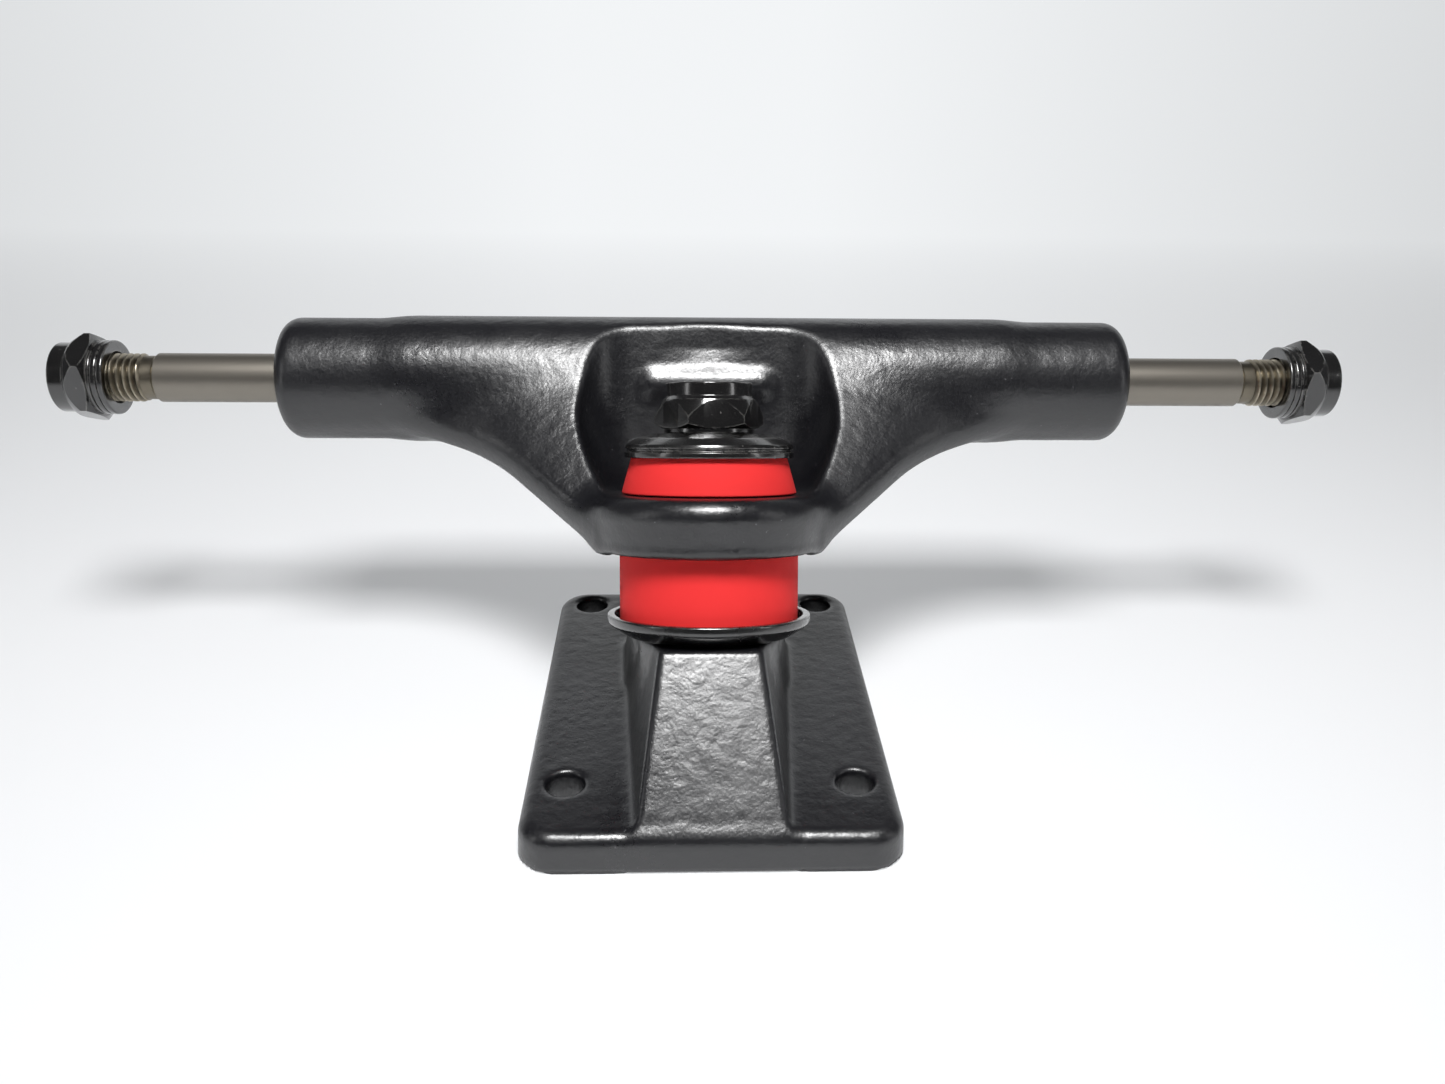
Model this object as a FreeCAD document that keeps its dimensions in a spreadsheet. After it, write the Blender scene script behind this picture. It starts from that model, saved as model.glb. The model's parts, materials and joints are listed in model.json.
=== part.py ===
import FreeCAD, Part
import math
import os

import Sketcher

# A skateboard truck: a cast baseplate, a cast hanger that steers on two bushings, and the axle.
# Frame: X runs along the axle, Y points from the kingpin side to the pivot side, Z is up.
# The origin is the centre of the four bolt holes, on the face that meets the deck.

SIZES = [
    # baseplate
    ("plate_width", 53.4, "plate across, along X"),
    ("plate_front", 39.4, "origin to the kingpin-side edge"),
    ("plate_back", 32.6, "origin to the pivot-side edge"),
    ("plate_thickness", 5.7, "plate thickness"),
    ("plate_corner", 4.5, "corner radius in plan"),
    ("plate_draft", 3.0, "draft of the plate's sides, degrees"),
    ("plate_edge_round", 1.6, "rounding of the plate's upper edge"),
    ("hole_spacing_x", 41.3, "bolt holes, across"),
    ("hole_spacing_y", 54.0, "bolt holes, lengthways"),
    ("hole_radius", 2.75, "bolt hole radius"),
    ("ramp_lip", 4.6, "height at which the ramp leaves the front edge"),
    ("ramp_top", 22.6, "height of the ramp's upper edge"),
    ("ramp_run", 17.2, "front edge to the ramp's upper edge, along Y"),
    ("ramp_low_half", 10.2, "half width of the ramp at its foot"),
    ("ramp_high_half", 7.35, "half width of the ramp at its top"),
    ("shoulder_run", 4.4, "front edge to where the block reaches its shoulders"),
    ("shoulder_half", 12.4, "half width of the block at its shoulders"),
    ("block_back", 12.0, "origin to the back of the block"),
    ("block_back_half", 14.75, "half width of the block at its back"),
    ("block_draw_in", 2.75, "how far the block's sides lean in by its top"),
    # kingpin seat
    ("seat_y", -8.07, "centre of the lower washer's seat, Y"),
    ("seat_z", 19.33, "centre of the lower washer's seat, Z"),
    ("kingpin_lean", 19.8, "lean of the kingpin towards the pivot side, degrees"),
    ("boss_radius", 13.0, "round boss under the lower washer"),
    # kingpin
    ("kingpin_radius", 4.7625, "3/8 inch bolt"),
    ("kingpin_depth", 10.7, "seat down to the underside of the head"),
    ("kingpin_end", 37.4, "seat up to the end of the thread"),
    ("kingpin_head_flats", 14.29, "head across flats"),
    ("kingpin_head_height", 5.6, "head height"),
    ("kingpin_thread_relief", 0.05, "thread crests below the shank's radius"),
    ("head_pocket_gap", 0.6497, "gap from the head's corners to its pocket"),
    ("fit_gap", 0.05, "radial gap of a close fit between metal pieces"),
    ("soft_gap", 0.3, "gap between a moulded piece and a metal wall"),
    # washers and bushings, stacked up from the seat
    ("lower_washer_floor", 1.8, "thickness of the lower washer's floor"),
    ("lower_washer_room", 0.7, "gap from the barrel bushing to the lower washer's rim"),
    ("lower_washer_rim_low", 2.1, "seat to the rim's lower edge"),
    ("lower_washer_rim_high", 3.3, "seat to the rim's upper edge"),
    ("lower_washer_foot_inset", 3.0, "flat underside inside the lower washer's rim"),
    ("washer_wall", 1.2, "wall of both cup washers"),
    ("lower_bushing_radius", 13.5, "barrel bushing radius"),
    ("lower_bushing_height", 11.75, "washer floor to the ring"),
    ("bushing_edge_round", 0.9, "rounding of the bushings' ends"),
    ("bushing_bore_gap", 0.35, "radial gap from a bushing to the kingpin"),
    ("bushing_nose_radius", 10.0, "nose that sits in the ring"),
    ("lower_nose_height", 1.7, "nose of the lower bushing"),
    ("upper_nose_height", 1.4, "nose of the upper bushing"),
    ("upper_bushing_low", 13.2, "cone bushing radius at the ring"),
    ("upper_bushing_high", 11.3, "cone bushing radius at its top"),
    ("upper_bushing_height", 6.9, "ring to the upper washer's ceiling"),
    ("upper_washer_room", 0.2, "gap from the cone bushing's top to the upper washer's rim"),
    ("upper_washer_drop", 1.6, "ceiling down to the rim's lower edge"),
    ("upper_washer_rise", 2.0, "ceiling up to the nut's seat"),
    ("upper_washer_crown_rim", 1.055, "flat under the nut, past the nut's flats"),
    # kingpin nut
    ("kingpin_nut_flats", 14.29, "across flats, 9/16 inch"),
    ("kingpin_nut_foot", 0.7, "washer face under the hexagon"),
    ("kingpin_nut_hex", 4.3, "height of the hexagon"),
    ("kingpin_nut_collar", 2.5, "height of the locking collar"),
    ("kingpin_nut_collar_wall", 0.5675, "collar wall round the locking insert"),
    # hanger
    ("ring_overhang", 3.75, "ring past the barrel bushing"),
    ("ring_height", 7.85, "ring between the bushings"),
    ("ring_bore_gap", 2.4875, "room for the kingpin to tilt in the ring"),
    ("bushing_clearance", 1.0, "room round the lower bushing"),
    ("axle_y", 23.5, "axle centre, Y"),
    ("axle_z", 49.7, "axle centre, Z"),
    ("barrel_radius", 9.8, "hanger round the axle"),
    ("barrel_half", 68.5, "centre to the face that the wheel's washer meets"),
    ("barrel_end_round", 2.6, "rounding of the hanger's ends"),
    ("web_thickness", 11.5, "wings between barrel and ring"),
    ("web_edge_round", 3.5, "rounding of the wings' edges"),
    ("wing_foot_half", 18.2, "half width of the wings at the ring"),
    ("wing_foot_drop", 1.0, "wings' foot below the ring's centre"),
    ("wing_knee_half", 27.0, "half width where the wing starts to curve"),
    ("wing_knee_rise", 7.6, "ring's centre to where the wing starts to curve"),
    ("wing_reach", 49.0, "half width where the wing meets the barrel"),
    ("wing_curve", 45.0, "radius of the wing's lower curve"),
    ("wing_sink", 1.6, "the wing's end inside the barrel's lower side"),
    ("recess_half", 20.0, "half width of the recess round the kingpin nut"),
    ("recess_depth", 13.2, "kingpin axis to the recess's back wall"),
    ("recess_corner", 10.0, "corner radius of the recess"),
    ("recess_rise", 45.0, "height of the recess's cut above the ring"),
    # steering pivot
    ("pivot_angle", 36.0, "steering axis below the horizontal, degrees"),
    ("pivot_tip", 32.5, "ring's centre to the pivot's tip"),
    ("pivot_radius", 6.6, "pivot radius in its cup"),
    ("pivot_root_step", 2.2, "pivot's root past its radius"),
    ("pivot_root_start", 4.0, "ring's centre to the start of the root"),
    ("pivot_root_end", 18.0, "ring's centre to the end of the root"),
    ("pivot_neck", 21.6, "ring's centre to where the pivot is straight"),
    ("pivot_cup_wall", 2.0, "wall of the pivot cup"),
    ("pivot_cup_floor", 1.5, "floor of the pivot cup"),
    ("pivot_cup_height", 12.0, "height of the pivot cup"),
    ("pivot_cup_lip", 1.0, "thickness and overhang of the cup's lip"),
    ("pivot_boss_wall", 2.9, "baseplate round the pivot cup"),
    ("pivot_boss_floor", 1.2, "baseplate under the pivot cup"),
    ("pivot_boss_trim", 1.1, "pivot boss ends this far inside the plate's edge"),
    ("gusset_half", 11.5, "half width of the wall under the pivot boss"),
    # axle and its hardware
    ("axle_radius", 3.97, "8 mm class axle, where the bearings sit"),
    ("axle_core_step", 0.28, "axle inside the hanger is thicker, which stops it sliding out"),
    ("seat_length", 20.5, "hanger to the neck, where the bearings sit"),
    ("axle_gap", 0.03, "radial gap between axle and hanger"),
    ("thread_length", 10.6, "thread at each end of the axle"),
    ("thread_relief", 0.07, "thread crests below the axle's radius"),
    ("neck_length", 2.0, "turned neck before the thread"),
    ("neck_depth", 0.4, "neck below the thread's crests"),
    ("thread_chamfer", 0.6, "chamfer at the axle's ends"),
    ("thread_grip", 3.6, "nut's inner face back from the axle's end"),
    ("washer_thickness", 1.0, "speed washer thickness"),
    ("washer_radius", 6.0, "speed washer outer radius"),
    ("washer_bore_gap", 0.23, "gap from a speed washer to the axle"),
    ("axle_nut_flats", 12.7, "across flats, 1/2 inch"),
    ("axle_nut_foot", 0.5, "washer face under the hexagon"),
    ("axle_nut_hex", 3.4, "height of the hexagon"),
    ("axle_nut_collar", 2.9, "height of the locking collar"),
    ("axle_nut_collar_wall", 0.48, "collar wall round the locking insert"),
    ("nut_thread_gap", 0.07, "radial gap between a nut and its thread"),
    ("nut_foot_inset", 0.35, "the nut's washer face inside its flats"),
    ("insert_wall", 1.1, "wall of the locking insert"),
    ("insert_sink", 0.4, "insert's outer face below the collar's end"),
    ("insert_gap", 0.05, "gap round the insert"),
]

# Heights along the kingpin, measured from the lower washer's seat.
RING_BOTTOM = "(Sizes.lower_washer_floor + Sizes.lower_bushing_height)"
RING_MIDDLE = f"({RING_BOTTOM} + Sizes.ring_height / 2)"
RING_TOP = f"({RING_BOTTOM} + Sizes.ring_height)"
CEILING = f"({RING_TOP} + Sizes.upper_bushing_height)"
NUT_SEAT = f"({CEILING} + Sizes.upper_washer_rise)"

# The ring's centre, where the kingpin and the steering axis cross.
RING_Y = f"(Sizes.seat_y + {RING_MIDDLE} * sin(Sizes.kingpin_lean * 1 deg))"
RING_Z = f"(Sizes.seat_z + {RING_MIDDLE} * cos(Sizes.kingpin_lean * 1 deg))"
RING_CENTRE = ("0", RING_Y, RING_Z)
SEAT = ("0", "Sizes.seat_y", "Sizes.seat_z")
KINGPIN_TURN = "-Sizes.kingpin_lean"

# The wings lie in the plane through the ring's centre and the axle.
WEB_RISE = f"atan2(Sizes.axle_z - {RING_Z}; Sizes.axle_y - {RING_Y})"
WEB_LENGTH = f"hypot(Sizes.axle_y - {RING_Y}; Sizes.axle_z - {RING_Z})"

# Radii that follow the piece they go round.
LOWER_RIM = "(Sizes.lower_bushing_radius + Sizes.lower_washer_room + Sizes.washer_wall)"
UPPER_RIM = "(Sizes.upper_bushing_high + Sizes.upper_washer_room + Sizes.washer_wall)"
RING_RADIUS = "(Sizes.lower_bushing_radius + Sizes.ring_overhang)"
CORE_RADIUS = "(Sizes.axle_radius + Sizes.axle_core_step)"
THREAD_RADIUS = "(Sizes.axle_radius - Sizes.thread_relief)"
KINGPIN_THREAD = "(Sizes.kingpin_radius - Sizes.kingpin_thread_relief)"

# Places along the axle, from its centre.
NECK_START = "(Sizes.barrel_half + Sizes.seat_length)"
THREAD_START = f"({NECK_START} + Sizes.neck_length)"
AXLE_END = f"({THREAD_START} + Sizes.thread_length)"
NUT_PLACE = f"({AXLE_END} - Sizes.thread_grip)"

FULL_TURN = 360.0
OVERSIZE = "200"


def make_sheet(doc):
    """The driving dimensions, one to a row: alias, value and what it is."""
    sheet = doc.addObject("Spreadsheet::Sheet", "Sizes")
    for row, (alias, size, note) in enumerate(SIZES, start=1):
        sheet.set(f"A{row}", alias)
        sheet.set(f"B{row}", str(size))
        sheet.setAlias(f"B{row}", alias)
        sheet.set(f"C{row}", note)
    doc.recompute()
    return sheet


def new_body(doc, label):
    body = doc.addObject("PartDesign::Body", label)
    body.Label = label
    return body


def bind_place(thing, prefix, place, turn, about):
    """Ties a placement to the sheet: a point, and a turn in degrees about an axis through it."""
    setattr(thing, prefix, FreeCAD.Placement(FreeCAD.Vector(), FreeCAD.Rotation(about, 1)))
    for axis, expression in zip("xyz", place):
        thing.setExpression(f"{prefix}.Base.{axis}", expression)
    thing.setExpression(f"{prefix}.Rotation.Angle", f"({turn}) * 1 deg")


def new_sketch(body, name, role="XY_Plane", place=("0", "0", "0"), turn="0"):
    """A sketch on one of the body's own planes, moved to a point and turned about X."""
    sketch = body.newObject("Sketcher::SketchObject", name)
    plane = [feature for feature in body.Origin.OriginFeatures if feature.Role == role][0]
    sketch.AttachmentSupport = [(plane, "")]
    sketch.MapMode = "FlatFace"
    bind_place(sketch, "AttachmentOffset", place, turn, FreeCAD.Vector(1, 0, 0))
    return sketch


def constrain(sketch, kind, *where, size=None):
    """Adds a constraint, bound to an expression when it has a size."""
    if size is None:
        sketch.addConstraint(Sketcher.Constraint(kind, *where))
        return
    number = sketch.addConstraint(Sketcher.Constraint(kind, *where, float(sketch.evalExpression(size))))
    sketch.setExpression(f"Constraints[{number}]", size)


def draw_outline(sketch, points):
    """A closed outline. A point is (x, y), or (x, y, radius, side) where an arc leads to it."""
    spots = [
        FreeCAD.Vector(float(sketch.evalExpression(p[0])), float(sketch.evalExpression(p[1])), 0)
        for p in points
    ]
    for number, point in enumerate(points):
        start, end = spots[number - 1], spots[number]
        if len(point) == 2:
            sketch.addGeometry(Part.LineSegment(start, end))
            continue
        radius = float(sketch.evalExpression(point[2]))
        chord = end - start
        middle = (start + end) * 0.5
        across = FreeCAD.Vector(-chord.y, chord.x, 0).normalize() * point[3]
        sag = radius - math.sqrt(radius**2 - (chord.Length / 2) ** 2)
        sketch.addGeometry(Part.Arc(start, middle + across * sag, end))
    for number, point in enumerate(points):
        following = (number + 1) % len(points)
        end = end_at(sketch, number, spots[number])
        start = end_at(sketch, following, spots[number])
        constrain(sketch, "Coincident", number, end, following, start)
        constrain(sketch, "DistanceX", -1, 1, number, end, size=point[0])
        constrain(sketch, "DistanceY", -1, 1, number, end, size=point[1])
        if len(point) == 4:
            constrain(sketch, "Radius", number, size=point[2])


def end_at(sketch, edge, spot):
    """Which end of an edge, 1 or 2, lies at a point."""
    return min((1, 2), key=lambda end: sketch.getPoint(edge, end).distanceToPoint(spot))


def draw_circle(sketch, radius, x="0", y="0"):
    centre = FreeCAD.Vector(float(sketch.evalExpression(x)), float(sketch.evalExpression(y)), 0)
    size = float(sketch.evalExpression(radius))
    number = sketch.addGeometry(Part.Circle(centre, FreeCAD.Vector(0, 0, 1), size))
    constrain(sketch, "DistanceX", -1, 1, number, 3, size=x)
    constrain(sketch, "DistanceY", -1, 1, number, 3, size=y)
    constrain(sketch, "Radius", number, size=radius)


def draw_hexagon(sketch, flats):
    """A regular hexagon with a flat towards -Y."""
    half = f"({flats} / 2)"
    corner = f"({flats} / sqrt(3))"
    draw_outline(
        sketch,
        [
            (f"{corner}", "0"),
            (f"{corner} / 2", half),
            (f"-{corner} / 2", half),
            (f"-{corner}", "0"),
            (f"-{corner} / 2", f"-{half}"),
            (f"{corner} / 2", f"-{half}"),
        ],
    )


def pad(body, name, sketch, length, backwards=False, both=False, taper=None):
    feature = body.newObject("PartDesign::Pad", name)
    feature.Profile = sketch
    feature.Reversed = backwards
    feature.SideType = "Symmetric" if both else "One side"
    feature.setExpression("Length", length)
    if taper:
        feature.setExpression("TaperAngle", taper)
    return feature


def pocket(body, name, sketch, length, upwards=False):
    """Cuts below the sketch, or above it."""
    feature = body.newObject("PartDesign::Pocket", name)
    feature.Profile = sketch
    feature.Reversed = upwards
    feature.setExpression("Length", length)
    return feature


def revolve(body, name, sketch):
    feature = body.newObject("PartDesign::Revolution", name)
    feature.Profile = sketch
    feature.ReferenceAxis = (sketch, ["V_Axis"])
    feature.Angle = FULL_TURN
    return feature


def turned_body(doc, label, points, place, turn, about=FreeCAD.Vector(1, 0, 0)):
    """A piece turned about its own Z axis, from (radius, height) points."""
    body = new_body(doc, label)
    sketch = new_sketch(body, f"{label}_section", "XZ_Plane")
    draw_outline(sketch, points)
    revolve(body, f"{label}_turned", sketch)
    bind_place(body, "Placement", place, turn, about)
    return body


def round_edges(body, name, wanted, radius):
    """Fillets the edges of the body that the test picks."""
    body.Document.recompute()
    base = body.Tip
    picked = [f"Edge{i}" for i, edge in enumerate(base.Shape.Edges, start=1) if wanted(edge)]
    if not picked:
        raise RuntimeError(f"{name}: no edge to round")
    fillet = body.newObject("PartDesign::Fillet", name)
    fillet.Base = (base, picked)
    fillet.setExpression("Radius", radius)


def make_baseplate(doc):
    body = new_body(doc, "baseplate")

    plate = new_sketch(body, "plate_outline")
    half = "Sizes.plate_width / 2"
    corner = "Sizes.plate_corner"
    draw_outline(
        plate,
        [
            (f"{half} - {corner}", "-Sizes.plate_front"),
            (half, f"{corner} - Sizes.plate_front", corner, -1),
            (half, f"Sizes.plate_back - {corner}"),
            (f"{half} - {corner}", "Sizes.plate_back", corner, -1),
            (f"{corner} - {half}", "Sizes.plate_back"),
            (f"-{half}", f"Sizes.plate_back - {corner}", corner, -1),
            (f"-{half}", f"{corner} - Sizes.plate_front"),
            (f"{corner} - {half}", "-Sizes.plate_front", corner, -1),
        ],
    )
    pad(body, "plate", plate, "Sizes.plate_thickness", taper="-Sizes.plate_draft")
    top = float(plate.evalExpression("Sizes.plate_thickness"))
    on_top = lambda edge: edge.BoundBox.ZMin > top - 0.01
    round_edges(body, "plate_edge", on_top, "Sizes.plate_edge_round")

    # the block narrows from its shoulders to the ramp, and leans in towards its top
    foot = new_sketch(body, "block_foot", place=("0", "0", "Sizes.ramp_lip"))
    head = new_sketch(body, "block_head", place=("0", "0", "Sizes.ramp_top"))
    lean_in = "Sizes.block_draw_in"
    levels = (
        (foot, "-Sizes.plate_front", "Sizes.ramp_low_half", "0"),
        (head, "(Sizes.ramp_run - Sizes.plate_front)", "Sizes.ramp_high_half", lean_in),
    )
    for sketch, front, half_front, inward in levels:
        shoulder = f"{front} + Sizes.shoulder_run"
        back = f"Sizes.block_back - {inward}"
        draw_outline(
            sketch,
            [
                (half_front, front),
                (f"Sizes.shoulder_half - {inward}", shoulder),
                (f"Sizes.block_back_half - {inward}", back),
                (f"{inward} - Sizes.block_back_half", back),
                (f"{inward} - Sizes.shoulder_half", shoulder),
                (f"-{half_front}", front),
            ],
        )
    block = body.newObject("PartDesign::AdditiveLoft", "block")
    block.Profile = foot
    block.Sections = [head]
    block.Ruled = True

    # filling between the block's foot and the plate
    web = new_sketch(body, "block_base_outline")
    draw_outline(
        web,
        [
            ("Sizes.ramp_low_half", "Sizes.plate_edge_round - Sizes.plate_front"),
            ("Sizes.shoulder_half", "Sizes.shoulder_run - Sizes.plate_front"),
            ("Sizes.block_back_half", "Sizes.block_back"),
            ("-Sizes.block_back_half", "Sizes.block_back"),
            ("-Sizes.shoulder_half", "Sizes.shoulder_run - Sizes.plate_front"),
            ("-Sizes.ramp_low_half", "Sizes.plate_edge_round - Sizes.plate_front"),
        ],
    )
    pad(body, "block_base", web, "Sizes.ramp_lip")

    boss = new_sketch(body, "boss_outline", place=SEAT, turn=KINGPIN_TURN)
    draw_circle(boss, "Sizes.boss_radius")
    pad(body, "boss", boss, "Sizes.seat_z", backwards=True)

    # pivot boss, coaxial with the steering axis, and the wall under it
    cup_radius = "(Sizes.pivot_radius + Sizes.fit_gap + Sizes.pivot_cup_wall)"
    boss_radius = f"({cup_radius} + Sizes.fit_gap + Sizes.pivot_boss_wall)"
    cup_end = "(Sizes.pivot_tip + Sizes.fit_gap + Sizes.pivot_cup_floor)"
    mouth = f"({cup_end} - Sizes.pivot_cup_height)"
    boss_start = f"({mouth} + Sizes.pivot_cup_lip)"
    boss_end = f"({cup_end} + Sizes.pivot_boss_floor)"
    pivot = new_sketch(body, "pivot_boss_section", place=RING_CENTRE, turn="-Sizes.pivot_angle")
    draw_outline(
        pivot,
        [("0", boss_start), (boss_radius, boss_start), (boss_radius, boss_end), ("0", boss_end)],
    )
    revolve(body, "pivot_boss", pivot)

    along = "cos(Sizes.pivot_angle * 1 deg)"
    down = "sin(Sizes.pivot_angle * 1 deg)"
    gusset = new_sketch(body, "gusset_outline", "YZ_Plane")
    back_edge = "Sizes.plate_back - Sizes.pivot_boss_trim"
    draw_outline(
        gusset,
        [
            ("0", "Sizes.plate_thickness / 2"),
            (back_edge, "Sizes.plate_thickness / 2"),
            (back_edge, f"{RING_Z} - {boss_end} * {down} + {boss_radius} * {along} / 2"),
            (f"{RING_Y} + {boss_start} * {along}", f"{RING_Z} - {boss_start} * {down}"),
            ("0", "Sizes.seat_z * 0.6"),
        ],
    )
    pad(body, "gusset", gusset, "2 * Sizes.gusset_half", both=True)

    # everything stays on the plate, and under the lower washer
    behind = new_sketch(body, "behind_outline", place=("0", "0", "Sizes.plate_thickness"))
    draw_outline(
        behind,
        [
            (f"-{half}", back_edge),
            (half, back_edge),
            (half, f"{OVERSIZE}"),
            (f"-{half}", f"{OVERSIZE}"),
        ],
    )
    pocket(body, "behind", behind, OVERSIZE, upwards=True)
    under = new_sketch(body, "under_outline")
    draw_circle(under, OVERSIZE)
    pocket(body, "under", under, OVERSIZE)
    over = new_sketch(body, "washer_room_outline", place=SEAT, turn=KINGPIN_TURN)
    draw_circle(over, f"{LOWER_RIM} + Sizes.bushing_clearance")
    pocket(body, "washer_room", over, OVERSIZE, upwards=True)

    # kingpin hole with the pocket for its head, pivot cup socket, bolt holes
    shank = new_sketch(body, "kingpin_hole_outline", place=SEAT, turn=KINGPIN_TURN)
    draw_circle(shank, "Sizes.kingpin_radius + Sizes.fit_gap")
    pocket(body, "kingpin_hole", shank, OVERSIZE)
    depth = "Sizes.kingpin_depth"
    head_centre = (
        "0",
        f"Sizes.seat_y - {depth} * sin(Sizes.kingpin_lean * 1 deg)",
        f"Sizes.seat_z - {depth} * cos(Sizes.kingpin_lean * 1 deg)",
    )
    head_room = new_sketch(body, "head_pocket_outline", place=head_centre, turn=KINGPIN_TURN)
    draw_circle(head_room, "Sizes.kingpin_head_flats / sqrt(3) + Sizes.head_pocket_gap")
    pocket(body, "head_pocket", head_room, OVERSIZE)
    socket = body.newObject("PartDesign::Groove", "pivot_socket")
    socket_section = new_sketch(body, "pivot_socket_section", place=RING_CENTRE, turn="-Sizes.pivot_angle")
    socket_radius = f"({cup_radius} + Sizes.fit_gap)"
    draw_outline(
        socket_section,
        [
            ("0", "Sizes.pivot_root_start"),
            (boss_radius, "Sizes.pivot_root_start"),
            (boss_radius, boss_start),
            (socket_radius, boss_start),
            (socket_radius, cup_end),
            ("0", cup_end),
        ],
    )
    socket.Profile = socket_section
    socket.ReferenceAxis = (socket_section, ["V_Axis"])
    socket.Angle = FULL_TURN
    body.Tip = socket

    holes = new_sketch(body, "bolt_holes_outline")
    for side_x in ("", "-"):
        for side_y in ("", "-"):
            x = f"{side_x}Sizes.hole_spacing_x / 2"
            y = f"{side_y}Sizes.hole_spacing_y / 2"
            draw_circle(holes, "Sizes.hole_radius", x, y)
    pocket(body, "bolt_holes", holes, OVERSIZE, upwards=True)
    return body


def make_pivot_cup(doc):
    inner = "(Sizes.pivot_radius + Sizes.fit_gap)"
    outer = f"({inner} + Sizes.pivot_cup_wall)"
    floor = "(Sizes.pivot_tip + Sizes.fit_gap)"
    end = f"({floor} + Sizes.pivot_cup_floor)"
    mouth = f"({end} - Sizes.pivot_cup_height)"
    lip = "Sizes.pivot_cup_lip"
    return turned_body(
        doc,
        "pivot_cup",
        [
            (inner, mouth),
            (f"{outer} + {lip}", mouth),
            (f"{outer} + {lip}", f"{mouth} + {lip}"),
            (outer, f"{mouth} + {lip}"),
            (outer, end),
            ("0", end),
            ("0", floor),
            (inner, f"{floor} - {inner}", inner, 1),
        ],
        RING_CENTRE,
        "-(90 + Sizes.pivot_angle)",
    )


def make_kingpin(doc):
    body = new_body(doc, "kingpin")
    head = new_sketch(body, "kingpin_head_outline", place=("0", "0", "-Sizes.kingpin_depth"))
    draw_hexagon(head, "Sizes.kingpin_head_flats")
    pad(body, "kingpin_head", head, "Sizes.kingpin_head_height", backwards=True)
    section = new_sketch(body, "kingpin_shank_section", "XZ_Plane")
    draw_outline(
        section,
        [
            ("0", "-Sizes.kingpin_depth"),
            ("Sizes.kingpin_radius", "-Sizes.kingpin_depth"),
            ("Sizes.kingpin_radius", RING_TOP),
            (KINGPIN_THREAD, RING_TOP),
            (KINGPIN_THREAD, "Sizes.kingpin_end - Sizes.thread_chamfer"),
            (f"{KINGPIN_THREAD} - Sizes.thread_chamfer", "Sizes.kingpin_end"),
            ("0", "Sizes.kingpin_end"),
        ],
    )
    revolve(body, "kingpin_shank", section)
    bind_place(body, "Placement", SEAT, KINGPIN_TURN, FreeCAD.Vector(1, 0, 0))
    return body


def make_washers_and_bushings(doc):
    """The soft and pressed pieces stacked on the kingpin, from the seat up."""
    bore = "(Sizes.kingpin_radius + Sizes.fit_gap)"
    wall = "Sizes.washer_wall"
    floor = "Sizes.lower_washer_floor"
    rim = LOWER_RIM
    lower_washer = turned_body(
        doc,
        "lower_cup_washer",
        [
            (bore, "0"),
            (f"{rim} - Sizes.lower_washer_foot_inset", "0"),
            (rim, "Sizes.lower_washer_rim_low"),
            (rim, "Sizes.lower_washer_rim_high"),
            (f"{rim} - {wall}", "Sizes.lower_washer_rim_high"),
            (f"{rim} - {wall}", f"{floor} + {wall} / 2"),
            (f"{rim} - {wall} * 1.5", floor),
            (bore, floor),
        ],
        SEAT,
        KINGPIN_TURN,
    )

    bushing_bore = "(Sizes.kingpin_radius + Sizes.bushing_bore_gap)"
    soft = "Sizes.bushing_edge_round"
    nose = "Sizes.bushing_nose_radius"
    radius = "Sizes.lower_bushing_radius"
    lower_bushing = turned_body(
        doc,
        "lower_bushing",
        [
            (bushing_bore, floor),
            (f"{radius} - {soft}", floor),
            (radius, f"{floor} + {soft}", soft, -1),
            (radius, f"{RING_BOTTOM} - {soft}"),
            (f"{radius} - {soft}", RING_BOTTOM, soft, -1),
            (nose, RING_BOTTOM),
            (nose, f"{RING_BOTTOM} + Sizes.lower_nose_height"),
            (bushing_bore, f"{RING_BOTTOM} + Sizes.lower_nose_height"),
        ],
        SEAT,
        KINGPIN_TURN,
    )

    upper_bushing = turned_body(
        doc,
        "upper_bushing",
        [
            (bushing_bore, f"{RING_TOP} - Sizes.upper_nose_height"),
            (nose, f"{RING_TOP} - Sizes.upper_nose_height"),
            (nose, RING_TOP),
            ("Sizes.upper_bushing_low", RING_TOP),
            ("Sizes.upper_bushing_high", CEILING),
            (bushing_bore, CEILING),
        ],
        SEAT,
        KINGPIN_TURN,
    )

    rim = UPPER_RIM
    upper_washer = turned_body(
        doc,
        "upper_cup_washer",
        [
            (bore, CEILING),
            (f"{rim} - {wall} / 2", CEILING),
            (f"{rim} - {wall} / 2", f"{CEILING} - Sizes.upper_washer_drop"),
            (rim, f"{CEILING} - Sizes.upper_washer_drop"),
            (rim, CEILING),
            ("Sizes.kingpin_nut_flats / 2 + Sizes.upper_washer_crown_rim", NUT_SEAT),
            (bore, NUT_SEAT),
        ],
        SEAT,
        KINGPIN_TURN,
    )
    return [lower_washer, lower_bushing, upper_bushing, upper_washer]


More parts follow.
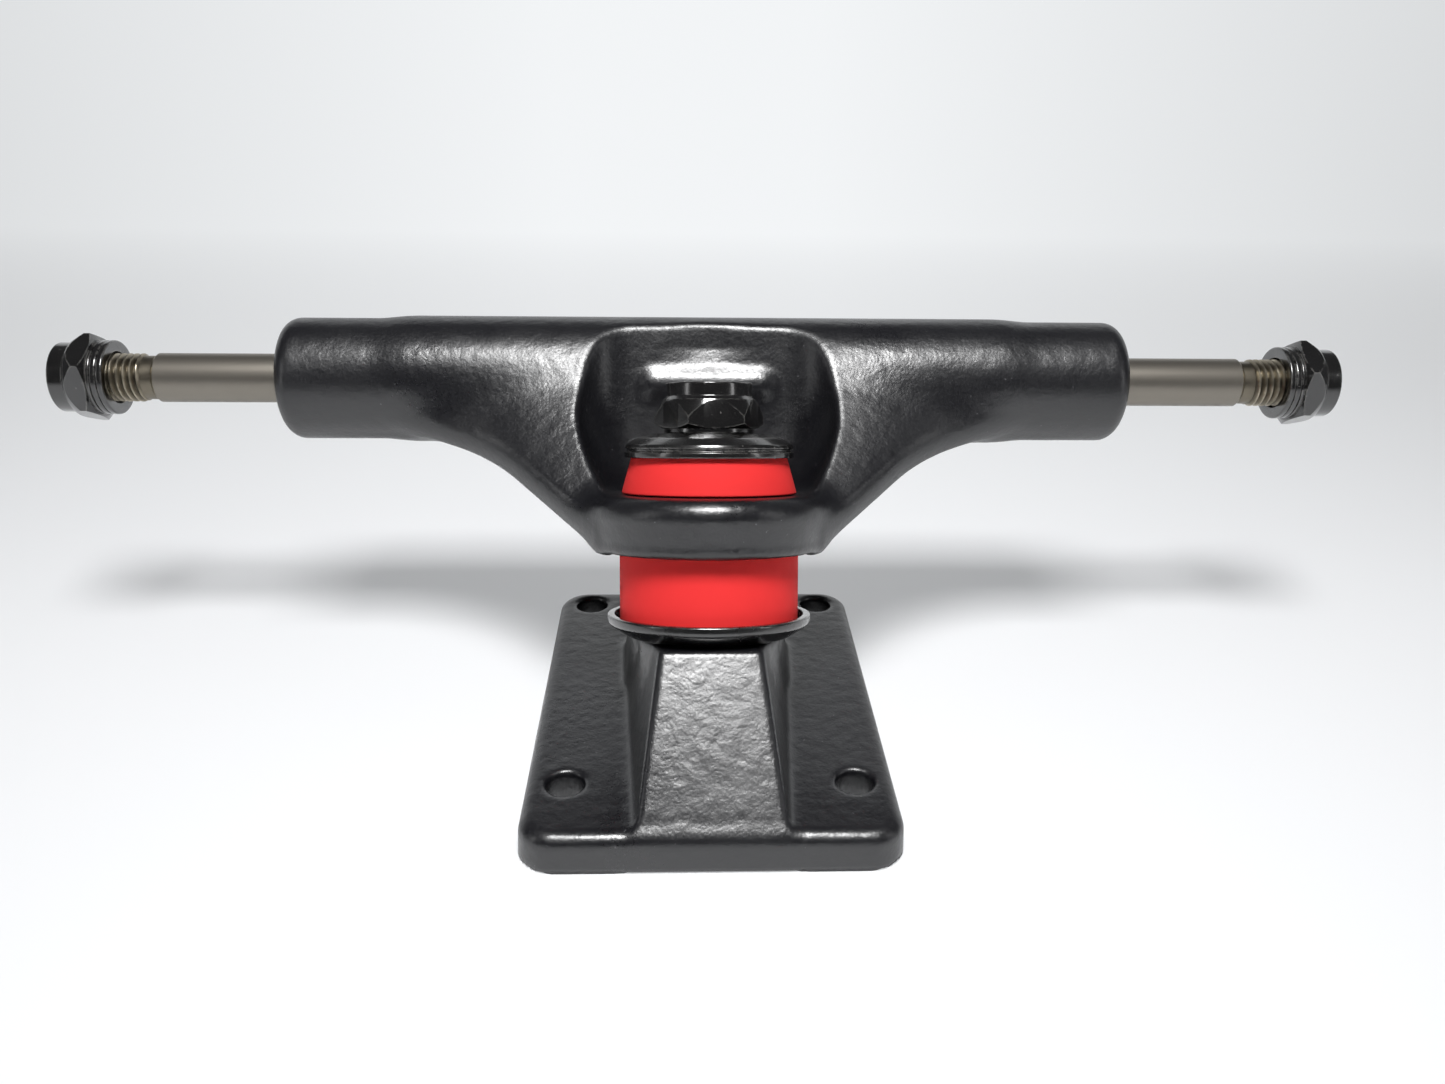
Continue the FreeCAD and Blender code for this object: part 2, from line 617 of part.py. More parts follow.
def make_lock_nut(doc, label, prefix, start, thread, place, turn, about=FreeCAD.Vector(1, 0, 0)):
    """A hexagon nut with a washer face, and a collar that holds a locking insert."""
    body = new_body(doc, label)
    bore = f"({thread} + Sizes.nut_thread_gap)"
    hex_start = f"({start} + Sizes.{prefix}_foot)"
    hex_end = f"({hex_start} + Sizes.{prefix}_hex)"
    collar_end = f"({hex_end} + Sizes.{prefix}_collar)"
    insert_outer = f"({bore} + Sizes.insert_wall)"
    collar = f"({insert_outer} + Sizes.insert_gap + Sizes.{prefix}_collar_wall)"
    outline = new_sketch(body, f"{label}_hexagon", place=("0", "0", hex_start))
    draw_hexagon(outline, f"Sizes.{prefix}_flats")
    pad(body, f"{label}_block", outline, f"Sizes.{prefix}_hex")
    section = new_sketch(body, f"{label}_section", "XZ_Plane")
    soft = "Sizes.nut_foot_inset"
    draw_outline(
        section,
        [
            ("0", start),
            (f"Sizes.{prefix}_flats / 2 - {soft}", start),
            (f"Sizes.{prefix}_flats / 2 - {soft}", hex_end),
            (collar, hex_end),
            (collar, f"{collar_end} - {soft}"),
            (f"{collar} - {soft}", collar_end),
            ("0", collar_end),
        ],
    )
    revolve(body, f"{label}_collar", section)
    insert_end = f"({collar_end} - Sizes.insert_sink)"
    thread_hole = new_sketch(body, f"{label}_hole", place=("0", "0", start))
    draw_circle(thread_hole, bore)
    pocket(body, f"{label}_bore", thread_hole, OVERSIZE, upwards=True)
    insert_room = new_sketch(body, f"{label}_insert_room", place=("0", "0", hex_end))
    draw_circle(insert_room, f"{insert_outer} + Sizes.insert_gap")
    pocket(body, f"{label}_counterbore", insert_room, OVERSIZE, upwards=True)
    bind_place(body, "Placement", place, turn, about)

    insert = turned_body(
        doc,
        f"{label}_insert",
        [(bore, hex_end), (insert_outer, hex_end), (insert_outer, insert_end), (bore, insert_end)],
        place,
        turn,
        about,
    )
    return [body, insert]


def make_hanger(doc):
    body = new_body(doc, "hanger")
    axle_centre = ("Sizes.axle_y", "Sizes.axle_z")

    # the wings, seen square on: straight up from the ring, then curving out along the barrel
    wings = new_sketch(body, "wing_outline", place=RING_CENTRE, turn=f"{WEB_RISE} / 1 deg")
    foot, drop = "Sizes.wing_foot_half", "-Sizes.wing_foot_drop"
    knee, rise = "Sizes.wing_knee_half", "Sizes.wing_knee_rise"
    reach = "Sizes.wing_reach"
    meet = f"{WEB_LENGTH} - Sizes.barrel_radius + Sizes.wing_sink"
    draw_outline(
        wings,
        [
            (f"-{foot}", drop),
            (foot, drop),
            (knee, rise),
            (reach, meet, "Sizes.wing_curve", 1),
            (reach, WEB_LENGTH),
            (f"-{reach}", WEB_LENGTH),
            (f"-{reach}", meet),
            (f"-{knee}", rise, "Sizes.wing_curve", 1),
        ],
    )
    pad(body, "wings", wings, "Sizes.web_thickness", both=True)
    slanted = lambda edge: edge.BoundBox.YLength > 1.0 and edge.BoundBox.XLength > 1.0
    round_edges(body, "wing_edges", slanted, "Sizes.web_edge_round")

    barrel = new_sketch(body, "barrel_outline", "YZ_Plane")
    draw_circle(barrel, "Sizes.barrel_radius", *axle_centre)
    pad(body, "barrel", barrel, "2 * Sizes.barrel_half", both=True)
    half = float(barrel.evalExpression("Sizes.barrel_half"))
    at_ends = lambda edge: min(abs(edge.BoundBox.XMin), abs(edge.BoundBox.XMax)) > half - 0.01
    round_edges(body, "barrel_ends", at_ends, "Sizes.barrel_end_round")

    ring = new_sketch(body, "ring_outline", place=seat_point(RING_BOTTOM), turn=KINGPIN_TURN)
    draw_circle(ring, RING_RADIUS)
    pad(body, "ring", ring, "Sizes.ring_height")

    pivot = new_sketch(body, "pivot_section", place=RING_CENTRE, turn="-Sizes.pivot_angle")
    root, tip = "(Sizes.pivot_radius + Sizes.pivot_root_step)", "Sizes.pivot_radius"
    draw_outline(
        pivot,
        [
            ("0", "Sizes.pivot_root_start"),
            (root, "Sizes.pivot_root_start"),
            (root, "Sizes.pivot_root_end"),
            (tip, "Sizes.pivot_neck"),
            (tip, f"Sizes.pivot_tip - {tip}"),
            ("0", "Sizes.pivot_tip", tip, -1),
        ],
    )
    revolve(body, "pivot", pivot)

    # recess round the upper bushing and the nut, open to the front and the top
    recess = new_sketch(body, "recess_outline", place=seat_point(RING_TOP), turn=KINGPIN_TURN)
    side, back, corner = "Sizes.recess_half", "Sizes.recess_depth", "Sizes.recess_corner"
    front = f"-2 * {RING_RADIUS}"
    draw_outline(
        recess,
        [
            (f"-{side}", front),
            (side, front),
            (side, f"{back} - {corner}"),
            (f"{side} - {corner}", back, corner, -1),
            (f"{corner} - {side}", back),
            (f"-{side}", f"{back} - {corner}", corner, -1),
        ],
    )
    pocket(body, "recess", recess, "Sizes.recess_rise", upwards=True)

    # room for the lower bushing and its washer below the ring
    room = new_sketch(body, "bushing_room_outline", place=seat_point(RING_BOTTOM), turn=KINGPIN_TURN)
    draw_circle(room, "Sizes.lower_bushing_radius + Sizes.bushing_clearance")
    pocket(body, "bushing_room", room, OVERSIZE)
    washer_room = new_sketch(
        body,
        "washer_room_outline",
        place=seat_point("(Sizes.lower_washer_rim_high + Sizes.soft_gap)"),
        turn=KINGPIN_TURN,
    )
    draw_circle(washer_room, f"{LOWER_RIM} + Sizes.soft_gap")
    pocket(body, "washer_room", washer_room, OVERSIZE)

    # the ring's bore, with a seat for a bushing's nose on each side
    seat_radius = "Sizes.bushing_nose_radius + Sizes.soft_gap"
    lower_seat = new_sketch(
        body,
        "lower_seat_outline",
        place=seat_point(f"({RING_BOTTOM} + Sizes.lower_nose_height + Sizes.soft_gap)"),
        turn=KINGPIN_TURN,
    )
    draw_circle(lower_seat, seat_radius)
    pocket(body, "lower_seat", lower_seat, OVERSIZE)
    upper_seat = new_sketch(
        body,
        "upper_seat_outline",
        place=seat_point(f"({RING_TOP} - Sizes.upper_nose_height - Sizes.soft_gap)"),
        turn=KINGPIN_TURN,
    )
    draw_circle(upper_seat, seat_radius)
    pocket(body, "upper_seat", upper_seat, "Sizes.ring_height", upwards=True)
    bore = new_sketch(body, "ring_bore_outline", place=seat_point(RING_BOTTOM), turn=KINGPIN_TURN)
    draw_circle(bore, "Sizes.kingpin_radius + Sizes.ring_bore_gap")
    pocket(body, "ring_bore", bore, "Sizes.ring_height", upwards=True)

    axle_hole = new_sketch(body, "axle_hole_outline", "YZ_Plane")
    draw_circle(axle_hole, f"{CORE_RADIUS} + Sizes.axle_gap", *axle_centre)
    hole = pocket(body, "axle_hole", axle_hole, f"2 * {OVERSIZE}")
    hole.SideType = "Symmetric"
    return body


def seat_point(height):
    """The point on the kingpin's axis at a height above the lower washer's seat."""
    return (
        "0",
        f"Sizes.seat_y + {height} * sin(Sizes.kingpin_lean * 1 deg)",
        f"Sizes.seat_z + {height} * cos(Sizes.kingpin_lean * 1 deg)",
    )


def make_axle(doc):
    """One turned rod: a core in the hanger, bearing seats, necks and threads."""
    chamfer = "Sizes.thread_chamfer"
    end = [
        ("Sizes.axle_radius", NECK_START),
        (f"{THREAD_RADIUS} - Sizes.neck_depth", NECK_START),
        (f"{THREAD_RADIUS} - Sizes.neck_depth", THREAD_START),
        (THREAD_RADIUS, THREAD_START),
        (THREAD_RADIUS, f"{AXLE_END} - {chamfer}"),
        (f"{THREAD_RADIUS} - {chamfer}", AXLE_END),
        ("0", AXLE_END),
    ]
    core = (CORE_RADIUS, "Sizes.barrel_half")
    end = [core, ("Sizes.axle_radius", "Sizes.barrel_half")] + end
    other_end = [(radius, f"-({height})") for radius, height in reversed(end)]
    place = ("0", "Sizes.axle_y", "Sizes.axle_z")
    return turned_body(doc, "axle", end + other_end, place, "90", FreeCAD.Vector(0, 1, 0))


def make_axle_hardware(doc):
    """On each end of the axle: two speed washers and a lock nut."""
    pieces = []
    across = FreeCAD.Vector(0, 1, 0)
    place = ("0", "Sizes.axle_y", "Sizes.axle_z")
    bore = "(Sizes.axle_radius + Sizes.washer_bore_gap)"
    for side, turn in (("left", "-90"), ("right", "90")):
        washers = (("outer", 1), ("inner", 2))
        for name, count in washers:
            start = f"({NUT_PLACE} - {count} * Sizes.washer_thickness)"
            end = f"({start} + Sizes.washer_thickness)"
            section = [
                (bore, start),
                ("Sizes.washer_radius", start),
                ("Sizes.washer_radius", end),
                (bore, end),
            ]
            label = f"{side}_{name}_speed_washer"
            pieces.append(turned_body(doc, label, section, place, turn, across))
        pieces += make_lock_nut(
            doc, f"{side}_axle_nut", "axle_nut", NUT_PLACE, THREAD_RADIUS, place, turn, across
        )
    return pieces


def check(doc, bodies):
    """Stops if a feature failed or a piece isn't one valid solid."""
    for thing in doc.Objects:
        if {"Invalid", "Error"} & set(thing.State):
            raise RuntimeError(f"{thing.Name}: {thing.State}")
    for body in bodies:
        if body.Shape.isNull() or not body.Shape.isValid():
            raise RuntimeError(f"{body.Label}: no valid shape")
        if len(body.Shape.Solids) != 1:
            raise RuntimeError(f"{body.Label}: {len(body.Shape.Solids)} solids")


def main():
    doc = FreeCAD.newDocument("skateboard_truck")
    make_sheet(doc)
    bodies = [make_baseplate(doc), make_pivot_cup(doc), make_kingpin(doc)]
    bodies += make_washers_and_bushings(doc)
    bodies += make_lock_nut(doc, "kingpin_nut", "kingpin_nut", NUT_SEAT, KINGPIN_THREAD, SEAT, KINGPIN_TURN)
    bodies += [make_hanger(doc), make_axle(doc)]
    bodies += make_axle_hardware(doc)
    doc.recompute()
    check(doc, bodies)
    os.makedirs("parts", exist_ok=True)
    for body in bodies:
        body.Shape.exportStep(f"parts/{body.Label}.step")
        print(body.Label, round(body.Shape.Volume, 1))


main()
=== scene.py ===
import json
import math

import bmesh
import bpy
import numpy as np
from bpy.props import FloatProperty, FloatVectorProperty, IntProperty, PointerProperty
from mathutils import Matrix, Vector


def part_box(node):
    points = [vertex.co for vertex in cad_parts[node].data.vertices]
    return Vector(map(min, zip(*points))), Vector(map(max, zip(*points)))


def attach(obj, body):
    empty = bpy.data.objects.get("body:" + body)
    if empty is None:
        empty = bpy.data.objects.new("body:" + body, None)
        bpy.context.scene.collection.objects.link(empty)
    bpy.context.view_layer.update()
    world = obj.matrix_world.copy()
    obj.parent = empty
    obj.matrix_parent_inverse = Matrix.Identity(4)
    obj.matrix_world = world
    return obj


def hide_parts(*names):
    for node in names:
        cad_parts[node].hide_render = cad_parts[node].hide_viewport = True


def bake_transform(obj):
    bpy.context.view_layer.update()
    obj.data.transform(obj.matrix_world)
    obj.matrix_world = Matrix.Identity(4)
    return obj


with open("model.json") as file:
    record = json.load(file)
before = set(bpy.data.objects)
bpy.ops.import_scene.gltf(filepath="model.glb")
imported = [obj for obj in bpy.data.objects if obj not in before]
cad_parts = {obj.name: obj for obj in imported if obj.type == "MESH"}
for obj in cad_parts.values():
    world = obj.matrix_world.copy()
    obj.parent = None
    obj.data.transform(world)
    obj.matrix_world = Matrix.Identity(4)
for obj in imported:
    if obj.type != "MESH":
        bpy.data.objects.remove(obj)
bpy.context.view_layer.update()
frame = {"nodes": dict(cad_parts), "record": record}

bl_info = {
    "name": "Skateboard truck",
    "version": (1, 0, 0),
    "blender": (4, 5, 0),
    "location": "3D View > Sidebar > Truck",
    "description": "Builds a skateboard truck round its packed frame",
    "category": "Add Mesh",
}

MM = 0.001


# ---------------------------------------------------------------- places from the frame

def joint(name):
    return [j for j in frame["record"]["behaviour"]["joints"] if j["name"] == name][0]


STEER = joint("hanger_steer")
RING = Vector(STEER["pos_m"])
PIVOT_AXIS = Vector(STEER["axis"]).normalized()
KINGPIN_AXIS = Vector(joint("kingpin_nut_turn")["axis"]).normalized()
AXLE = Vector(joint("right_washer_spin")["pos_m"])
AXLE.x = 0.0
WEB_AXIS = (AXLE - RING).normalized()
WEB_LENGTH = (AXLE - RING).length
ACROSS = Vector((1, 0, 0))


def height_on_kingpin(node, side):
    """Lowest (0) or highest (1) point of a node along the kingpin, from the ring's centre."""
    points = [KINGPIN_AXIS.dot(v.co - RING) for v in frame["nodes"][node].data.vertices]
    return (min(points), max(points))[side]


SEAT = height_on_kingpin("lower_cup_washer", 0)
NUT_SEAT = height_on_kingpin("kingpin_nut", 0)
NUT_TOP = height_on_kingpin("kingpin_nut", 1)
KINGPIN_LOW = height_on_kingpin("kingpin", 0)
KINGPIN_HIGH = height_on_kingpin("kingpin", 1)
BARREL_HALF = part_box("hanger")[1].x
AXLE_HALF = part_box("axle")[1].x
PLATE_LOW, PLATE_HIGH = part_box("baseplate")
WASHER_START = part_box("right_inner_speed_washer")[0].x
WASHER_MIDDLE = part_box("right_outer_speed_washer")[0].x
NUT_START, NUT_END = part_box("right_axle_nut")[0].x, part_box("right_axle_nut")[1].x
THREAD_PITCH = joint("right_axle_nut_travel")["range_m"][1] / 3


# ---------------------------------------------------------------- sizes and colours

def length(name, description, default):
    return FloatProperty(name=name, description=description, default=default * MM, unit="LENGTH")


def colour(name, description, default):
    return FloatVectorProperty(
        name=name, description=description, default=default, subtype="COLOR", size=3, min=0, max=1
    )


class HangerSizes(bpy.types.PropertyGroup):
    barrel: length("Barrel radius", "Casting round the axle", 9.8)
    barrel_round: length("Barrel end rounding", "Rounding of the barrel's ends", 2.8)
    ring: length("Ring radius", "Ring round the bushings", 17.7)
    ring_height: length("Ring height", "Height of the ring along the kingpin", 7.85)
    ring_round: length("Ring rounding", "Rounding of the ring's upper rim", 2.6)
    ring_under: length("Ring underside", "Rounding of the ring's lower rim", 1.1)
    ring_bore: length("Ring bore", "Radius of the hole for the kingpin", 7.25)
    nose_seat: length("Bushing seat", "Radius of the seats for the bushings' noses", 10.3)
    lower_seat: length("Lower seat depth", "Depth of the lower bushing's seat", 2.0)
    upper_seat: length("Upper seat depth", "Depth of the upper bushing's seat", 1.7)
    wing_edge: length("Wing edge radius", "Radius of the wings' lower edges", 3.6)
    wing_reach: length("Wing reach", "Half width at which a wing leaves the barrel", 52.0)
    wing_curve: length("Wing curve", "Radius of the wings' lower curve", 31.0)
    recess: length("Recess half width", "Half width of the recess at its widest", 20.6)
    recess_low: length("Recess foot half width", "Half width of the recess at the ring", 15.6)
    recess_depth: length("Recess depth", "Kingpin axis to the recess's back wall", 13.2)
    recess_corner: length("Recess corner", "Corner radius of the recess", 9.5)
    recess_rim: length("Recess rim", "Rounding of the recess's rim", 0.7)
    ring_lip: length("Ring lip", "How far the ring's rim hangs over the lower bushing", 0.8)
    pad: length("Pad", "Radius of the raised pad behind the kingpin nut", 2.6)
    pad_half: length("Pad half width", "Half the length of that pad's middle", 8.6)
    bushing_room: length("Bushing room", "Radius kept free round the lower bushing", 14.5)
    pivot_root: length("Pivot root radius", "Pivot radius where it leaves the ring", 8.5)
    pivot: length("Pivot radius", "Pivot radius in its cup", 6.6)
    pivot_tip: length("Pivot length", "Ring's centre to the pivot's tip", 32.5)
    axle_hole: length("Axle hole", "Radius of the hole for the axle", 4.28)
    step: length("Mesh step", "Spacing of the surface's points", 0.6)


class BaseplateSizes(bpy.types.PropertyGroup):
    thickness: length("Plate thickness", "Thickness of the plate", 5.7)
    corner: length("Plate corner", "Corner radius of the plate", 5.0)
    edge: length("Plate edge rounding", "Rounding of the plate's upper edge", 1.9)
    hole: length("Bolt hole", "Radius of the bolt holes", 2.75)
    ramp_lip: length("Ramp lip", "Height at which the ramp leaves the front edge", 4.6)
    ramp_top: length("Ramp top", "Height of the ramp's upper edge", 22.6)
    ramp_run: length("Ramp run", "Front edge to the ramp's upper edge", 17.2)
    block: length("Block half width", "Half width of the block where it leaves the front edge", 10.3)
    block_edge: length("Block edges", "Rounding of the block's edges", 0.8)
    boss: length("Kingpin boss", "Radius of the boss under the lower washer", 10.6)
    head_pocket: length("Head pocket", "Radius of the pocket for the kingpin's head", 8.9)
    cup_hole: length("Cup socket", "Radius of the socket for the pivot cup", 8.7)
    boss_wall: length("Pivot boss wall", "Wall round the pivot cup", 2.9)
    step: length("Mesh step", "Spacing of the surface's points", 0.6)


class StackSizes(bpy.types.PropertyGroup):
    kingpin: length("Kingpin radius", "Radius of the kingpin", 4.7625)
    lower_bushing: length("Lower bushing radius", "Radius of the barrel bushing", 13.5)
    bushing_bore: length("Bushing bore", "Radius of the bushings' holes", 5.1)
    bushing_nose: length("Bushing nose", "Radius of the noses that sit in the ring", 10.0)
    cone_low: length("Cone foot radius", "Radius of the cone bushing at the ring", 13.2)
    cone_high: length("Cone top radius", "Radius of the cone bushing at its top", 11.3)
    cone_height: length("Cone height", "Ring to the upper washer's ceiling", 6.9)
    washer_floor: length("Washer floor", "Thickness of the lower washer's floor", 1.8)
    lower_rim: length("Lower washer radius", "Outer radius of the lower washer", 15.4)
    lower_rim_high: length("Lower washer height", "Height of the lower washer's rim", 3.3)
    upper_rim: length("Upper washer radius", "Outer radius of the upper washer", 12.7)


class HardwareSizes(bpy.types.PropertyGroup):
    kingpin_nut: length("Kingpin nut", "Across the flats", 14.29)
    kingpin_collar: length("Kingpin nut collar", "Radius of the locking collar", 6.5)
    axle: length("Axle radius", "Radius of the bearing seats", 3.97)
    thread: length("Thread radius", "Radius over the thread's crests", 3.9)
    thread_depth: length("Thread depth", "Depth of the thread", 0.58)
    axle_nut: length("Axle nut", "Across the flats", 12.7)
    axle_collar: length("Axle nut collar", "Radius of the locking collar", 5.6)
    speed_washer: length("Speed washer", "Outer radius of the speed washers", 6.0)
    speed_bore: length("Speed washer hole", "Radius of the speed washers' holes", 4.2)
    segments: IntProperty(name="Segments", description="Sides of a round piece", default=96, min=24)


class TruckColours(bpy.types.PropertyGroup):
    coat: colour("Powder coat", "Paint on the castings", (0.0026, 0.0026, 0.0042))
    plating: colour("Black plating", "Nuts, washers and kingpin", (0.004, 0.0037, 0.0035))
    bare: colour("Bare steel", "Axle", (0.30, 0.27, 0.22))
    thread: colour("Thread", "Steel of the axle's thread", (0.46, 0.41, 0.32))
    urethane: colour("Bushing urethane", "Both bushings", (0.60, 0.0012, 0.0001))
    cup: colour("Pivot cup", "Moulded pivot cup", (0.02, 0.02, 0.02))
    nylon: colour("Locking insert", "Inserts of the lock nuts", (0.03, 0.03, 0.032))
    floor: colour("Floor", "Floor and backdrop", (0.90, 0.905, 0.92))


# ---------------------------------------------------------------- meshes

def add_mesh(name, mesh, body, node, material, smooth_angle=None):
    mesh.validate()
    mesh.shade_smooth()
    if smooth_angle is not None:
        mesh.set_sharp_from_angle(angle=smooth_angle)
    mesh.materials.append(material)
    piece = bpy.data.objects.new(name, mesh)
    bpy.context.scene.collection.objects.link(piece)
    if body:
        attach(piece, body)
    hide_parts(node)
    return piece


def axis_matrix(origin, axis, towards=ACROSS):
    """Local Z along the axis, and local X as near the other direction as it can be."""
    z = axis.normalized()
    x = (towards - z * towards.dot(z)).normalized()
    y = z.cross(x)
    turn = Matrix((x, y, z)).transposed().to_4x4()
    return Matrix.Translation(origin) @ turn


def rounded(points, radii, steps=5):
    """A section with its corners rounded: points are (radius, height), radii one for each."""
    out = []
    count = len(points)
    for i, (point, radius) in enumerate(zip(points, radii)):
        here = Vector(point)
        before, after = Vector(points[i - 1]), Vector(points[(i + 1) % count])
        into, away = (before - here), (after - here)
        if radius <= 0 or into.length == 0 or away.length == 0:
            out.append(here)
            continue
        half_angle = into.angle(away) / 2
        setback = min(radius / math.tan(half_angle), into.length * 0.49, away.length * 0.49)
        start, end = here + into.normalized() * setback, here + away.normalized() * setback
        for step in range(steps + 1):
            t = step / steps
            out.append(start * (1 - t) ** 2 + here * (2 * t * (1 - t)) + end * t**2)
    return out


def lathe(section, matrix, segments, radius_at=None):
    """Turns a closed section about local Z. radius_at(radius, angle) may reshape it."""
    vertices, faces = [], []
    count = len(section)
    for turn in range(segments):
        angle = 2 * math.pi * turn / segments
        for radius, height in section:
            if radius_at:
                radius, height = radius_at(radius, height, angle)
            spot = Vector((radius * math.cos(angle), radius * math.sin(angle), height))
            vertices.append(matrix @ spot)
    for turn in range(segments):
        following = (turn + 1) % segments
        for i in range(count):
            j = (i + 1) % count
            faces.append((turn * count + i, following * count + i, following * count + j, turn * count + j))
    return vertices, faces


def closed_mesh(name, vertices, faces, merge=1e-6):
    """A mesh with doubled points merged and its faces turned outwards."""
    mesh = bpy.data.meshes.new(name)
    mesh.from_pydata([tuple(v) for v in vertices], [], faces)
    work = bmesh.new()
    work.from_mesh(mesh)
    bmesh.ops.remove_doubles(work, verts=work.verts, dist=merge)
    bmesh.ops.dissolve_degenerate(work, edges=work.edges, dist=merge)
    bmesh.ops.recalc_face_normals(work, faces=work.faces)
    work.to_mesh(mesh)
    work.free()
    return mesh


def hex_radius(flats, angle):
    """Distance from the axis to a hexagon's side, with a corner at angle 0."""
    sector = math.pi / 3
    off = (angle % sector) - sector / 2
    return flats / 2 / math.cos(off)


def thread_radius(height, angle, crest, depth, pitch):
    """A 60 degree thread with flat crests and roots."""
    phase = (height / pitch - angle / (2 * math.pi)) % 1.0
    ramp = min(phase, 1.0 - phase) * 2
    rise = min(max((ramp - 0.12) / 0.68, 0.0), 1.0)
    return crest - depth * (1 - rise)


def threaded_rod(start, end, crest, depth, pitch, chamfer, matrix, segments, root_start=None):
    """A closed rod with a helical thread, and a chamfer at its far end."""
    rows_per_turn = 10
    first = math.floor(start / pitch) - 1
    last = math.ceil(end / pitch) + 1
    rows = (last - first) * rows_per_turn
    vertices, faces = [], []
    for turn in range(segments + 1):
        angle = 2 * math.pi * turn / segments
        for row in range(rows + 1):
            height = (first + row / rows_per_turn + angle / (2 * math.pi)) * pitch
            height = min(max(height, start), end)
            radius = thread_radius(height, angle, crest, depth, pitch)
            radius = min(radius, crest - chamfer + (end - height))
            if root_start is not None:
                radius = min(radius, root_start + (height - start))
            vertices.append(
                matrix @ Vector((radius * math.cos(angle), radius * math.sin(angle), height))
            )
    stride = rows + 1
    for turn in range(segments):
        for row in range(rows):
            a = turn * stride + row
            faces.append((a, a + stride, a + stride + 1, a + 1))
    for row, height in ((0, start), (rows, end)):
        centre = len(vertices)
        vertices.append(matrix @ Vector((0, 0, height)))
        for turn in range(segments):
            faces.append((turn * stride + row, (turn + 1) * stride + row, centre))
    return vertices, faces


# ---------------------------------------------------------------- cast surfaces

def smooth_min(a, b, blend):
    mix = np.clip(0.5 + 0.5 * (b - a) / blend, 0, 1)
    return b * (1 - mix) + a * mix - blend * mix * (1 - mix)


def smooth_max(a, b, blend):
    return -smooth_min(-a, -b, blend)


def box_distance(a, b, rounding):
    """Distance to a rounded corner, from the distances to its two sides."""
    a, b = a + rounding, b + rounding
    outside = np.hypot(np.maximum(a, 0), np.maximum(b, 0))
    return outside + np.minimum(np.maximum(a, b), 0) - rounding


def round_cone(along, across, span, start_radius, end_radius):
    """Distance to two circles and their tangents, with the second at span along the line."""
    across = np.abs(across)
    slope = np.clip((start_radius - end_radius) / span, -0.98, 0.98)
    level = np.sqrt(1 - slope**2)
    reach = along * level - across * slope
    at_start = np.hypot(along, across) - start_radius
    at_end = np.hypot(along - span, across) - end_radius
    between = across * level + along * slope - start_radius
    return np.where(reach < 0, at_start, np.where(reach > level * span, at_end, between))


def capsule(x, y, z, start, end, start_radius, end_radius):
    """Distance to a rod with round ends between two points."""
    start, end = Vector(start), Vector(end)
    span = end - start
    along = ((x - start.x) * span.x + (y - start.y) * span.y + (z - start.z) * span.z) / span.length_squared
    along = np.clip(along, 0, 1)
    gap = np.sqrt(
        (x - start.x - along * span.x) ** 2
        + (y - start.y - along * span.y) ** 2
        + (z - start.z - along * span.z) ** 2
    )
    return gap - start_radius - (end_radius - start_radius) * along


def cells_to_mesh(field, low, high, step):
    """The zero surface of a distance field as quads, one point to each cell that it crosses."""
    axes = [np.arange(a - 2 * step, b + 3 * step, step) for a, b in zip(low, high)]
    values = field(*np.meshgrid(*axes, indexing="ij"))
    inside = values < 0
    cells = tuple(n - 1 for n in values.shape)
    total = np.zeros(cells + (3,), np.float32)
    count = np.zeros(cells, np.float32)

    def corner(array, offset):
        return array[tuple(slice(o, o + n) for o, n in zip(offset, cells))]

    for axis in range(3):
        for a in (0, 1):
            for b in (0, 1):
                offset = [a, b]
                offset.insert(axis, 0)
                far = list(offset)
                far[axis] = 1
                near_value, far_value = corner(values, offset), corner(values, far)
                crossed = corner(inside, offset) != corner(inside, far)
                share = np.where(crossed, near_value / (near_value - far_value + 1e-12), 0)
                for i in range(3):
                    place = share if i == axis else offset[i]
                    total[..., i] += np.where(crossed, place, 0)
                count += crossed

    active = count > 0
    index = np.full(cells, -1, np.int64)
    index[active] = np.arange(active.sum())
    origin = np.array([a[0] for a in axes])
    vertices = origin + step * (np.argwhere(active) + total[active] / count[active][:, None])

    faces = []
    for axis in range(3):
        b, c = [i for i in range(3) if i != axis]
        near = [slice(1, n - 1) for n in values.shape]
        near[axis] = slice(0, values.shape[axis] - 1)
        far = list(near)
        far[axis] = slice(1, values.shape[axis])
        starts, ends = inside[tuple(near)], inside[tuple(far)]
        for sign, crossing in ((1, starts & ~ends), (-1, ~starts & ends)):
            spots = np.argwhere(crossing)
            spots[:, b] += 1
            spots[:, c] += 1
            ring = []
            for db, dc in ((-1, -1), (0, -1), (0, 0), (-1, 0)):
                cell = spots.copy()
                cell[:, b] += db
                cell[:, c] += dc
                ring.append(index[tuple(cell.T)])
            quad = np.stack(ring, 1)
            outward = sign if axis != 1 else -sign
            faces.append(quad if outward > 0 else quad[:, ::-1])
    return vertices, np.concatenate(faces)


def settle(field, vertices, step, rounds=4):
    """Moves each point onto the field's zero surface."""
    reach = step * 0.1
    for _ in range(rounds):
        x, y, z = vertices.T
        here = field(x, y, z)
        slope = np.stack(
            [
                field(x + reach, y, z) - field(x - reach, y, z),
                field(x, y + reach, z) - field(x, y - reach, z),
                field(x, y, z + reach) - field(x, y, z - reach),
            ],
            1,
        ) / (2 * reach)
        size = np.maximum((slope**2).sum(1), 0.05)
        move = -(here / size)[:, None] * slope
        long = np.linalg.norm(move, axis=1)
        move *= np.minimum(1, 0.5 * step / np.maximum(long, 1e-12))[:, None]
        vertices = vertices + move
    return vertices


